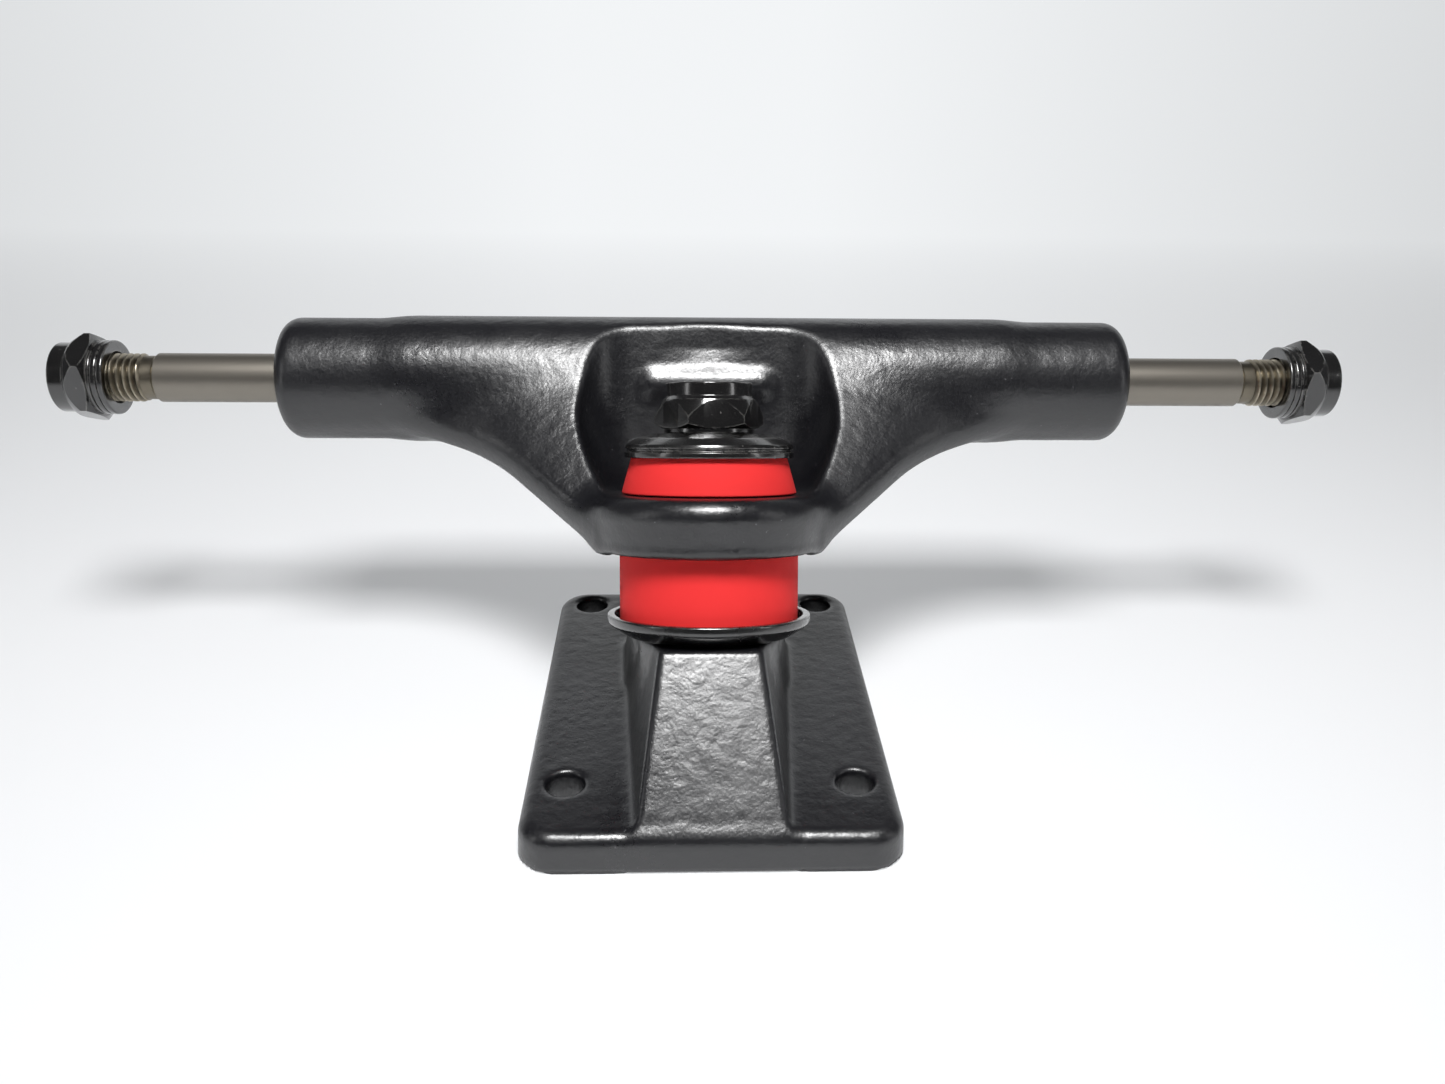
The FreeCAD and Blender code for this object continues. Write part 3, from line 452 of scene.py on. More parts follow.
def cast_mesh(name, field, low, high, step):
    vertices, faces = cells_to_mesh(field, low, high, step)
    vertices = settle(field, vertices, step)
    mesh = bpy.data.meshes.new(name)
    mesh.vertices.add(len(vertices))
    mesh.vertices.foreach_set("co", vertices.astype(np.float32).ravel())
    mesh.loops.add(faces.size)
    mesh.loops.foreach_set("vertex_index", faces.astype(np.int32).ravel())
    mesh.polygons.add(len(faces))
    mesh.polygons.foreach_set("loop_start", np.arange(0, faces.size, 4, dtype=np.int32))
    mesh.update(calc_edges=True)
    return mesh


def local(x, y, z, origin, along, away):
    """Coordinates in the middle plane: distance along one direction and along the other."""
    dy, dz = y - origin.y, z - origin.z
    return dy * along.y + dz * along.z, dy * away.y + dz * away.z


def turned_left(direction):
    """The direction square to this one in the middle plane, towards the viewer's side and up."""
    return Vector((0, -direction.z, direction.y))


def hanger_field(sizes):
    web_out = turned_left(WEB_AXIS)
    back = Vector((0, KINGPIN_AXIS.z, -KINGPIN_AXIS.y))
    half_ring = sizes.ring_height / 2
    rise_at_reach = WEB_LENGTH - sizes.barrel - 1.5 * MM

    def field(x, y, z):
        side = np.abs(x)
        round_axle = np.hypot(y - AXLE.y, z - AXLE.z)
        web, out = local(x, y, z, RING, WEB_AXIS, web_out)
        height, depth = local(x, y, z, RING, KINGPIN_AXIS, back)
        round_kingpin = np.hypot(x, depth)

        barrel = box_distance(round_axle - sizes.barrel, side - BARREL_HALF, sizes.barrel_round)

        # each wing is the barrel's circle joined to a smaller one that runs along its lower edge
        inward = np.clip(sizes.wing_reach - side, 0, sizes.wing_reach)
        bend = sizes.wing_curve * math.sqrt(0.5)
        on_curve = np.minimum(inward, bend)
        drop = sizes.wing_curve - np.sqrt(sizes.wing_curve**2 - on_curve**2)
        drop = drop + np.maximum(inward - bend, 0) * 1.03
        tuck = 2.2 * MM * np.clip(1 - inward / (12 * MM), 0, 1) ** 2
        edge = np.maximum(rise_at_reach - drop + tuck + sizes.wing_edge, -1.2 * MM)
        wing = round_cone(
            WEB_LENGTH - web, out, np.maximum(WEB_LENGTH - edge, MM),
            sizes.barrel - 0.4 * MM, sizes.wing_edge
        )
        wing = smooth_max(wing, side - sizes.wing_reach, 6 * MM)
        wing = smooth_max(wing, -height - half_ring - sizes.ring_lip, 1.5 * MM)

        rim = np.where(height > 0, sizes.ring_round, sizes.ring_under)
        hang = np.where(height > 0, 0, sizes.ring_lip)
        draft = 0.3 * np.clip(0.8 * MM - height, 0, half_ring)
        ring = box_distance(round_kingpin - sizes.ring + draft, np.abs(height) - half_ring - hang, rim)

        solid = smooth_min(barrel, wing, 2.5 * MM)
        solid = smooth_min(solid, ring, 3.5 * MM)

        # pivot, and the rib from the barrel's middle down to it
        pivot_point = RING + PIVOT_AXIS * (sizes.pivot_tip - sizes.pivot)
        root_point = RING + PIVOT_AXIS * 14 * MM
        pivot = capsule(x, y, z, RING + PIVOT_AXIS * 8 * MM, pivot_point, sizes.pivot, sizes.pivot)
        root_start = RING + PIVOT_AXIS * 4 * MM
        root = capsule(x, y, z, root_start, root_point, sizes.pivot_root, sizes.pivot_root - MM)
        pivot = smooth_min(pivot, root, 2 * MM)
        rib_top = AXLE - web_out * 4 * MM - WEB_AXIS * 6 * MM
        rib = capsule(x, y, z, rib_top, root_point, 5.6 * MM, 4.6 * MM)
        solid = smooth_min(solid, rib, 5 * MM)
        solid = smooth_min(solid, pivot, 2.5 * MM)

        # recess round the upper bushing and the nut
        widening = np.clip((height - half_ring) / (16 * MM), 0, 1)
        widening = widening * (2 - widening)
        half_width = sizes.recess_low + (sizes.recess - sizes.recess_low) * widening
        lean = np.clip(height - 21.5 * MM, 0, 5 * MM)
        back_wall = sizes.recess_depth + lean**2 / (34 * MM) * np.exp(-((x / (6 * MM)) ** 2))
        recess = box_distance(side - half_width, depth - back_wall, sizes.recess_corner)
        recess = smooth_max(recess, half_ring - height, 1.2 * MM)
        beyond = np.maximum(side - sizes.pad_half, 0)
        behind = depth - sizes.recess_depth - 1.7 * MM
        pad = np.sqrt(beyond**2 + behind**2 + (height - 20.8 * MM) ** 2) - sizes.pad
        recess = smooth_max(recess, -pad, 1.6 * MM)
        solid = smooth_max(solid, -recess, sizes.recess_rim)
        # room below the ring, seats for the bushings, and the bores
        room = np.maximum(round_kingpin - sizes.bushing_room, height + half_ring)
        solid = smooth_max(solid, -room, 0.8 * MM)
        lower = np.maximum(round_kingpin - sizes.nose_seat, height + half_ring - sizes.lower_seat)
        upper = np.maximum(round_kingpin - sizes.nose_seat, half_ring - sizes.upper_seat - height)
        upper = np.maximum(upper, height - 2 * half_ring)
        bore = np.maximum(round_kingpin - sizes.ring_bore, np.abs(height) - half_ring)
        solid = smooth_max(solid, -np.minimum(np.minimum(lower, upper), bore), 0.4 * MM)
        return smooth_max(solid, sizes.axle_hole - round_axle, 0.5 * MM)

    return field


def baseplate_field(sizes):
    back = Vector((0, KINGPIN_AXIS.z, -KINGPIN_AXIS.y))
    pivot_out = turned_left(PIVOT_AXIS)
    low, high = PLATE_LOW, PLATE_HIGH
    middle_y, half_y = (low.y + high.y) / 2, (high.y - low.y) / 2
    seat = RING + KINGPIN_AXIS * SEAT
    pattern = frame["record"]["mounts"][0]["dims"]
    holes = (pattern["spacing_x_mm"] * MM / 2, pattern["spacing_y_mm"] * MM / 2)
    cup_points = [PIVOT_AXIS.dot(v.co - RING) for v in frame["nodes"]["pivot_cup"].data.vertices]
    cup_end = max(cup_points)
    boss_start = min(cup_points) + MM
    boss_radius = sizes.cup_hole + sizes.boss_wall
    ramp = Vector((0, sizes.ramp_run, sizes.ramp_top - sizes.ramp_lip)).normalized()
    ramp_up = Vector((0, -ramp.z, ramp.y))

    def field(x, y, z):
        side = np.abs(x)
        draft = math.tan(math.radians(3))
        edges = box_distance(
            side - high.x + z * draft, np.abs(y - middle_y) - half_y + z * draft, sizes.corner
        )
        plate = box_distance(edges, z - sizes.thickness, sizes.edge)

        # the block: a ramp in front, and walls that lean in as they rise and spread towards the back
        _, over_ramp = local(x, y, z, Vector((0, low.y, sizes.ramp_lip)), ramp, ramp_up)
        walls = side - sizes.block - 0.07 * (y - low.y) + 0.235 * (z - sizes.thickness)
        block = smooth_max(walls * 0.97, over_ramp, sizes.block_edge)
        height, depth = local(x, y, z, seat, KINGPIN_AXIS, back)
        block = smooth_max(block, y - 12 * MM, 3 * MM)

        round_kingpin = np.hypot(x, depth)
        boss = round_kingpin - sizes.boss

        reach, off = local(x, y, z, RING, PIVOT_AXIS, pivot_out)
        round_pivot = np.hypot(x, off)
        gusset = box_distance(side - 11.6 * MM, np.abs(y - 14 * MM) - 17.5 * MM, 4 * MM)
        under_pivot = box_distance(gusset, off - 3 * MM, 4 * MM)
        under_pivot = np.maximum(under_pivot, 13 * MM - reach)
        pivot_boss = box_distance(
            round_pivot - boss_radius, np.abs(reach - (boss_start + cup_end) / 2)
            - (cup_end - boss_start) / 2 - 1.2 * MM, 1.4 * MM
        )
        core = smooth_min(smooth_min(block, boss, 2 * MM), under_pivot, 4 * MM)
        core = smooth_max(core, height, sizes.block_edge)
        core = smooth_min(core, pivot_boss, 3 * MM)
        core = smooth_max(core, np.abs(y - middle_y) - half_y + 0.9 * MM, 2 * MM)
        solid = smooth_min(plate, core, 1.6 * MM)
        solid = np.maximum(solid, -z)

        # nothing stands in the washer's way, or in front of the pivot cup
        room = np.maximum(round_kingpin - 16.4 * MM, -height)
        solid = smooth_max(solid, -room, 0.8 * MM)
        ahead = np.abs(reach - 8 * MM - boss_start / 2) - boss_start / 2 + 8 * MM
        mouth = np.maximum(round_pivot - boss_radius, ahead)
        solid = smooth_max(solid, -mouth, 0.8 * MM)
        inside = np.abs(reach - 8 * MM - cup_end / 2) - cup_end / 2 + 8 * MM
        socket = np.maximum(round_pivot - sizes.cup_hole, inside)
        solid = smooth_max(solid, -socket, 0.5 * MM)

        shank = round_kingpin - 4.82 * MM
        head = np.maximum(round_kingpin - sizes.head_pocket, height + 10.7 * MM)
        solid = smooth_max(solid, -np.minimum(shank, head), 0.5 * MM)
        bolt = np.hypot(side - holes[0], np.abs(y) - holes[1]) - sizes.hole
        return smooth_max(solid, -bolt, 0.6 * MM)

    return field


# ---------------------------------------------------------------- materials

def new_material(name):
    material = bpy.data.materials.new(name)
    material.use_nodes = True
    tree = material.node_tree
    shader = [n for n in tree.nodes if n.type == "BSDF_PRINCIPLED"][0]
    return material, tree, shader


def add_node(tree, kind, settings=None, **inputs):
    node = tree.nodes.new(kind)
    for key, value in (settings or {}).items():
        setattr(node, key, value)
    for key, value in inputs.items():
        spaced = key.replace("_", " ")
        socket = node.inputs[spaced if spaced in node.inputs else key]
        if isinstance(value, bpy.types.NodeSocket):
            tree.links.new(value, socket)
        else:
            socket.default_value = value
    return node


def object_coordinates(tree, stretch=(1, 1, 1)):
    place = add_node(tree, "ShaderNodeTexCoord")
    mapping = add_node(tree, "ShaderNodeMapping", Vector=place.outputs["Object"])
    mapping.inputs["Scale"].default_value = stretch
    return mapping.outputs["Vector"]


def noise(tree, coordinates, scale, detail=3.0, roughness=0.5, distortion=0.0):
    node = add_node(tree, "ShaderNodeTexNoise", Vector=coordinates, Scale=scale, Detail=detail)
    node.inputs["Roughness"].default_value = roughness
    node.inputs["Distortion"].default_value = distortion
    return node.outputs["Fac"]


def remap(tree, value, low, high, to_low, to_high):
    node = add_node(tree, "ShaderNodeMapRange", Value=value)
    for name, number in zip(("From Min", "From Max", "To Min", "To Max"), (low, high, to_low, to_high)):
        node.inputs[name].default_value = number
    return node.outputs["Result"]


def mix_colour(tree, factor, a, b):
    node = add_node(tree, "ShaderNodeMix", {"data_type": "RGBA"})
    tree.links.new(factor, node.inputs["Factor"])
    colour_inputs = [s for s in node.inputs if s.type == "RGBA"]
    for socket, value in zip(colour_inputs, (a, b)):
        if isinstance(value, bpy.types.NodeSocket):
            tree.links.new(value, socket)
        else:
            socket.default_value = tuple(value) + (1.0,)
    return [s for s in node.outputs if s.type == "RGBA"][0]


def calculate(tree, operation, a, b):
    node = add_node(tree, "ShaderNodeMath", {"operation": operation})
    for socket, value in zip(node.inputs, (a, b)):
        if isinstance(value, bpy.types.NodeSocket):
            tree.links.new(value, socket)
        else:
            socket.default_value = value
    return node.outputs[0]


def bump(tree, height, strength, distance, normal=None):
    node = add_node(tree, "ShaderNodeBump", Height=height, Strength=strength, Distance=distance)
    if normal:
        tree.links.new(normal, node.inputs["Normal"])
    return node.outputs["Normal"]


def worn_edges(tree, radius, low, high):
    """1 on convex edges, from the angle between the true normal and a bevelled one."""
    soft = add_node(tree, "ShaderNodeBevel", Radius=radius)
    sharp = add_node(tree, "ShaderNodeNewGeometry")
    dot = add_node(tree, "ShaderNodeVectorMath", {"operation": "DOT_PRODUCT"})
    tree.links.new(soft.outputs["Normal"], dot.inputs[0])
    tree.links.new(sharp.outputs["Normal"], dot.inputs[1])
    return remap(tree, dot.outputs["Value"], high, low, 0.0, 1.0)


def powder_coat(colours):
    """Semi-gloss black paint over a casting: orange peel, wrinkles in patches and dust."""
    material, tree, shader = new_material("black_powder_coat")
    here = object_coordinates(tree)
    patches = noise(tree, here, 55.0, 3.0)
    shine = remap(tree, patches, 0.35, 0.65, 0.29, 0.38)
    grain = noise(tree, here, 2600.0, 2.0)
    shine = calculate(tree, "ADD", shine, remap(tree, grain, 0.3, 0.7, -0.03, 0.05))
    tree.links.new(shine, shader.inputs["Roughness"])
    dust = noise(tree, here, 1500.0, 1.0)
    specks = remap(tree, dust, 0.76, 0.82, 0.0, 0.35)
    tree.links.new(mix_colour(tree, specks, colours.coat, (0.22, 0.22, 0.23)), shader.inputs["Base Color"])
    peel = noise(tree, here, 520.0, 2.0)
    wrinkles = noise(tree, here, 260.0, 3.0, 0.55, 0.6)
    gate = remap(tree, noise(tree, here, 38.0, 2.0), 0.46, 0.62, 0.15, 1.0)
    surface = calculate(tree, "ADD", peel, calculate(tree, "MULTIPLY", wrinkles, gate))
    fine = calculate(tree, "MULTIPLY", grain, 0.25)
    surface = calculate(tree, "ADD", surface, fine)
    tree.links.new(bump(tree, surface, 0.7, 0.00013), shader.inputs["Normal"])
    shader.inputs["Specular IOR Level"].default_value = 1.0
    return material


def black_plating(name, colours, shine, wear):
    """Dark plated steel, worn to bare metal along its edges."""
    material, tree, shader = new_material(name)
    here = object_coordinates(tree)
    edges = worn_edges(tree, 0.00035, 0.90, 0.985)
    chips = remap(tree, noise(tree, here, 900.0, 3.0), 0.40, 0.60, 0.0, 1.0)
    bare = calculate(tree, "MULTIPLY", calculate(tree, "MULTIPLY", edges, chips), wear)
    specks = remap(tree, noise(tree, here, 1900.0, 1.0), 0.74, 0.80, 0.0, 0.4)
    bare = calculate(tree, "MAXIMUM", bare, specks)
    tree.links.new(mix_colour(tree, bare, colours.plating, (0.42, 0.41, 0.39)), shader.inputs["Base Color"])
    smear = noise(tree, here, 180.0, 4.0)
    rough = remap(tree, smear, 0.3, 0.7, shine, shine + 0.14)
    tree.links.new(rough, shader.inputs["Roughness"])
    surface = calculate(tree, "ADD", noise(tree, here, 700.0, 3.0), calculate(tree, "MULTIPLY", smear, 2.0))
    tree.links.new(bump(tree, surface, 0.35, 0.00006), shader.inputs["Normal"])
    tree.links.new(bare, shader.inputs["Metallic"])
    shader.inputs["Specular IOR Level"].default_value = 1.0
    shader.inputs["Coat Weight"].default_value = 0.6
    shader.inputs["Coat Roughness"].default_value = 0.06
    return material


def bare_steel(colours):
    """Ground steel that has been handled: fine turning marks, scratches and brown stains."""
    material, tree, shader = new_material("bare_steel")
    here = object_coordinates(tree)
    turning = noise(tree, object_coordinates(tree, (1, 0.04, 0.04)), 6000.0, 2.0)
    scratches = noise(tree, object_coordinates(tree, (0.12, 1, 1)), 1600.0, 3.0, 0.6, 0.3)
    stains = noise(tree, here, 120.0, 5.0, 0.62, 0.4)
    dirt = remap(tree, stains, 0.40, 0.60, 0.0, 1.0)
    dark = tuple(c * 0.38 for c in colours.bare)
    base = mix_colour(tree, dirt, dark, colours.bare)
    blotches = noise(tree, object_coordinates(tree, (0.35, 1, 1)), 420.0, 4.0, 0.65, 0.8)
    base = mix_colour(tree, remap(tree, blotches, 0.48, 0.62, 0.0, 0.75), base, (0.16, 0.135, 0.095))
    marks = remap(tree, scratches, 0.60, 0.70, 0.0, 0.9)
    base = mix_colour(tree, marks, base, (0.80, 0.77, 0.70))
    tree.links.new(base, shader.inputs["Base Color"])
    rough = remap(tree, stains, 0.3, 0.7, 0.52, 0.34)
    rough = calculate(tree, "ADD", rough, remap(tree, turning, 0.3, 0.7, -0.05, 0.06))
    tree.links.new(rough, shader.inputs["Roughness"])
    surface = calculate(tree, "ADD", turning, calculate(tree, "MULTIPLY", scratches, 0.8))
    surface = calculate(tree, "ADD", surface, calculate(tree, "MULTIPLY", blotches, 2.5))
    tree.links.new(bump(tree, surface, 0.8, 0.00006), shader.inputs["Normal"])
    shader.inputs["Metallic"].default_value = 1.0
    return material


def thread_steel(colours):
    """Rolled thread, with painted shade in its roots and grit over it."""
    material, tree, shader = new_material("thread_steel")
    here = object_coordinates(tree)
    place = add_node(tree, "ShaderNodeTexCoord")
    parts = add_node(tree, "ShaderNodeSeparateXYZ", Vector=place.outputs["Object"])
    from_y = calculate(tree, "SUBTRACT", parts.outputs["Y"], AXLE.y)
    from_z = calculate(tree, "SUBTRACT", parts.outputs["Z"], AXLE.z)
    squares = calculate(
        tree, "ADD", calculate(tree, "MULTIPLY", from_y, from_y),
        calculate(tree, "MULTIPLY", from_z, from_z)
    )
    radius = calculate(tree, "SQRT", squares, 0.0)
    # painted shade: the colour darkens to 0.16 of itself towards the thread's roots, by radius from the
    # axle
    crest = remap(tree, radius, 3.35 * MM, 3.85 * MM, 0.0, 1.0)
    dark = tuple(c * 0.16 for c in colours.thread)
    base = mix_colour(tree, crest, dark, colours.thread)
    grit = remap(tree, noise(tree, here, 700.0, 4.0), 0.35, 0.65, 0.0, 0.6)
    grime = tuple(c * 0.4 for c in colours.thread)
    tree.links.new(mix_colour(tree, grit, base, grime), shader.inputs["Base Color"])
    rough = remap(tree, noise(tree, here, 400.0, 3.0), 0.3, 0.7, 0.28, 0.5)
    tree.links.new(rough, shader.inputs["Roughness"])
    tree.links.new(bump(tree, noise(tree, here, 2500.0, 2.0), 0.3, 0.00003), shader.inputs["Normal"])
    shader.inputs["Metallic"].default_value = 1.0
    return material


def moulded_urethane(name, base, rough, inner):
    """Cast urethane: a soft glow under a smooth skin, with dust and faint mould marks."""
    material, tree, shader = new_material(name)
    here = object_coordinates(tree)
    cloud = noise(tree, here, 140.0, 3.0)
    shaded = tuple(c * 0.86 for c in base)
    tone = mix_colour(tree, remap(tree, cloud, 0.35, 0.65, 0.0, 1.0), shaded, base)
    specks = remap(tree, noise(tree, here, 1700.0, 1.0), 0.77, 0.80, 0.0, 0.7)
    tone = mix_colour(tree, specks, tone, tuple(c * 0.45 for c in base))
    tree.links.new(tone, shader.inputs["Base Color"])
    smear = noise(tree, object_coordinates(tree, (1, 1, 0.35)), 220.0, 4.0)
    tree.links.new(remap(tree, smear, 0.3, 0.7, rough - 0.05, rough + 0.08), shader.inputs["Roughness"])
    surface = calculate(tree, "ADD", noise(tree, here, 90.0, 2.0), calculate(tree, "MULTIPLY", smear, 0.25))
    tree.links.new(bump(tree, surface, 0.25, 0.00010), shader.inputs["Normal"])
    shader.inputs["Subsurface Weight"].default_value = inner * 0.3
    shader.inputs["Subsurface Radius"].default_value = (0.004, 0.0006, 0.0004)
    shader.inputs["Subsurface Scale"].default_value = 0.5
    shader.inputs["Specular IOR Level"].default_value = 0.07
    return material


def plain_nylon(colours):
    material, tree, shader = new_material("locking_nylon")
    here = object_coordinates(tree)
    tone = mix_colour(tree, noise(tree, here, 300.0), tuple(c * 0.7 for c in colours.nylon), colours.nylon)
    tree.links.new(tone, shader.inputs["Base Color"])
    tree.links.new(remap(tree, noise(tree, here, 500.0), 0.3, 0.7, 0.4, 0.6), shader.inputs["Roughness"])
    tree.links.new(bump(tree, noise(tree, here, 900.0), 0.3, 0.00005), shader.inputs["Normal"])
    return material


MATERIAL_MAKERS = {
    "black_powder_coat": powder_coat,
    "nut_plating": lambda c: black_plating("nut_plating", c, 0.13, 0.5),
    "washer_plating": lambda c: black_plating("washer_plating", c, 0.17, 1.0),
    "bare_steel": bare_steel,
    "thread_steel": thread_steel,
    "red_urethane": lambda c: moulded_urethane("red_urethane", tuple(c.urethane), 0.24, 0.12),
    "cup_urethane": lambda c: moulded_urethane("cup_urethane", tuple(c.cup), 0.45, 0.0),
    "locking_nylon": plain_nylon,
}


def material(name):
    """The named finish, made the first time that it is asked for."""
    found = bpy.data.materials.get(name)
    return found or MATERIAL_MAKERS[name](bpy.context.scene.truck_colours)


# ---------------------------------------------------------------- operators

class TRUCK_OT_hanger(bpy.types.Operator):
    """Cast hanger: barrel, wings, ring, recess and pivot"""
    bl_idname = "truck.hanger"
    bl_label = "Hanger"

    def execute(self, context):
        sizes = context.scene.truck_hanger
        low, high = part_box("hanger")
        mesh = cast_mesh("hanger_casting", hanger_field(sizes), low, high, sizes.step)
        add_mesh("hanger_casting", mesh, "hanger_group", "hanger",
                 material("black_powder_coat"))
        return {"FINISHED"}


class TRUCK_OT_baseplate(bpy.types.Operator):
    """Cast baseplate: plate, ramp block, kingpin boss and pivot boss"""
    bl_idname = "truck.baseplate"
    bl_label = "Baseplate"

    def execute(self, context):
        sizes = context.scene.truck_baseplate
        mesh = cast_mesh("baseplate_casting", baseplate_field(sizes), PLATE_LOW, PLATE_HIGH, sizes.step)
        add_mesh("baseplate_casting", mesh, "truck_base", "baseplate",
                 material("black_powder_coat"))
        return {"FINISHED"}


class TRUCK_OT_bushings(bpy.types.Operator):
    """Barrel bushing below the ring and cone bushing above it"""
    bl_idname = "truck.bushings"
    bl_label = "Bushings"

    def execute(self, context):
        sizes = context.scene.truck_stack
        segments = context.scene.truck_hardware.segments
        matrix = axis_matrix(RING, KINGPIN_AXIS)
        half_ring = context.scene.truck_hanger.ring_height / 2
        floor = SEAT + sizes.washer_floor
        bore, nose = sizes.bushing_bore, sizes.bushing_nose
        radius = sizes.lower_bushing
        rings = [(radius, floor + (-half_ring - floor) * part / 12) for part in range(1, 12)]
        lower = rounded(
            [(bore, floor), (radius, floor)] + rings + [(radius, -half_ring), (nose, -half_ring),
             (nose, -half_ring + 1.7 * MM), (bore, -half_ring + 1.7 * MM)],
            [0.4 * MM, 0.9 * MM] + [0] * 11 + [0.7 * MM, 0, 0.5 * MM, 0.4 * MM],
        )
        self.add(lower, matrix, segments, "lower_bushing", floor, -half_ring)

        ceiling = half_ring + sizes.cone_height
        slant = [
            (sizes.cone_low + (sizes.cone_high - sizes.cone_low) * part / 8,
             half_ring + sizes.cone_height * part / 8)
            for part in range(1, 8)
        ]
        upper = rounded(
            [(bore, half_ring - 1.4 * MM), (nose, half_ring - 1.4 * MM), (nose, half_ring),
             (sizes.cone_low, half_ring)] + slant + [(sizes.cone_high, ceiling), (bore, ceiling)],
            [0.4 * MM, 0.5 * MM, 0, 0.25 * MM] + [0] * 7 + [0.6 * MM, 0.4 * MM],
        )
        self.add(upper, matrix, segments, "upper_bushing", ceiling, half_ring)
        return {"FINISHED"}

    def add(self, section, matrix, segments, node, at_base, at_hanger):
        vertices, faces = lathe(section, matrix, segments)
        mesh = closed_mesh(node, vertices, faces)
        piece = add_mesh(f"{node}_urethane", mesh, None, node,
                         material("red_urethane"), math.radians(40))
        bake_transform(piece)


class TRUCK_OT_cup_washers(bpy.types.Operator):
    """Pressed cup washers at both ends of the bushing stack"""
    bl_idname = "truck.cup_washers"
    bl_label = "Cup washers"

    def execute(self, context):
        sizes = context.scene.truck_stack
        segments = context.scene.truck_hardware.segments
        matrix = axis_matrix(RING, KINGPIN_AXIS)
        bore = sizes.kingpin + 0.05 * MM
        floor, rim = sizes.washer_floor, sizes.lower_rim
        wall = 1.2 * MM
        lower = rounded(
            [(bore, SEAT), (12.4 * MM, SEAT), (rim, SEAT + 2.0 * MM), (rim, SEAT + sizes.lower_rim_high),
             (rim - wall, SEAT + sizes.lower_rim_high), (rim - wall, SEAT + floor + wall / 2),
             (rim - 1.5 * wall, SEAT + floor), (bore, SEAT + floor)],
            [0.2 * MM, 2.0 * MM, 1.0 * MM, 0.35 * MM, 0.35 * MM, 0.5 * MM, 0.5 * MM, 0.2 * MM],
        )
        half_ring = context.scene.truck_hanger.ring_height / 2
        ceiling = half_ring + sizes.cone_height
        rim = sizes.upper_rim
        upper = rounded(
            [(bore, ceiling), (rim - wall / 2, ceiling), (rim - wall / 2, ceiling - 1.6 * MM),
             (rim, ceiling - 1.6 * MM), (rim, ceiling - 0.75 * MM), (rim - 0.35 * MM, ceiling - 0.6 * MM),
             (rim - 0.35 * MM, ceiling - 0.35 * MM), (rim, ceiling - 0.2 * MM),
             (rim - 0.2 * MM, ceiling + 0.35 * MM),
             (11.0 * MM, ceiling + 1.3 * MM), (8.8 * MM, NUT_SEAT), (bore, NUT_SEAT)],
            [0.2 * MM, 0.3 * MM, 0.2 * MM, 0.25 * MM, 0.15 * MM, 0.1 * MM, 0.1 * MM, 0.2 * MM, 0.4 * MM,
             2.0 * MM, 1.2 * MM, 0.2 * MM],
        )
        for node, section in (("lower_cup_washer", lower), ("upper_cup_washer", upper)):
            mesh = closed_mesh(node, *lathe(section, matrix, segments))
            add_mesh(f"{node}_pressing", mesh, "truck_base", node,
                     material("washer_plating"), math.radians(40))
        return {"FINISHED"}


def lock_nut(matrix, segments, start, foot, hexagon, collar_height, flats, collar, bore):
    """A hexagon on a washer face, its corners turned to a steep cone, under a round collar."""
    insert = bore + 1.15 * MM
    inset = flats / 2 - 0.35 * MM
    hex_start, hex_end = start + foot, start + foot + hexagon
    end = hex_end + collar_height
    turn_in = flats / 2 * 0.985
    foot_points = [(bore + 0.4 * MM, start), (inset, start), (inset, hex_start)]
    section = [("round", p) for p in rounded(foot_points, [0, 0.2 * MM, 0])]
    for share in (0.0, 0.5, 1.0):
        section.append(("low", share))
    for share in (1.0, 0.5, 0.0):
        section.append(("high", share))
    top = rounded(
        [(collar + 0.5 * MM, hex_end), (collar, hex_end + 0.5 * MM), (collar, end),
         (insert, end), (insert, hex_end), (bore, hex_end), (bore, start + 0.4 * MM)],
        [0, 0.3 * MM, 0.9 * MM, 0.3 * MM, 0, 0, 0],
    )
    section += [("round", p) for p in top]
    vertices, faces = [], []
    count = len(section)
    for turn in range(segments):
        angle = 2 * math.pi * turn / segments
        corner = hex_radius(flats, angle)
        for kind, value in section:
            if kind == "round":
                radius, height = value
            else:
                radius = turn_in + (corner - turn_in) * value
                dip = radius - turn_in
                height = hex_start + 0.6 * dip if kind == "low" else hex_end - hexagon * 0.5 * dip / MM
            vertices.append(matrix @ Vector((radius * math.cos(angle), radius * math.sin(angle), height)))
    for turn in range(segments):
        following = (turn + 1) % segments
        for i in range(count):
            j = (i + 1) % count
            faces.append((turn * count + i, following * count + i, following * count + j, turn * count + j))
    return vertices, faces


def insert_ring(matrix, segments, bore, start, end):
    bore = bore + 0.05 * MM
    outer = bore + 1.0 * MM
    corners = [(bore, start), (outer, start), (outer, end), (bore, end)]
    section = rounded(corners, [0, 0, 0.2 * MM, 0.3 * MM])
    return lathe(section, matrix, segments)


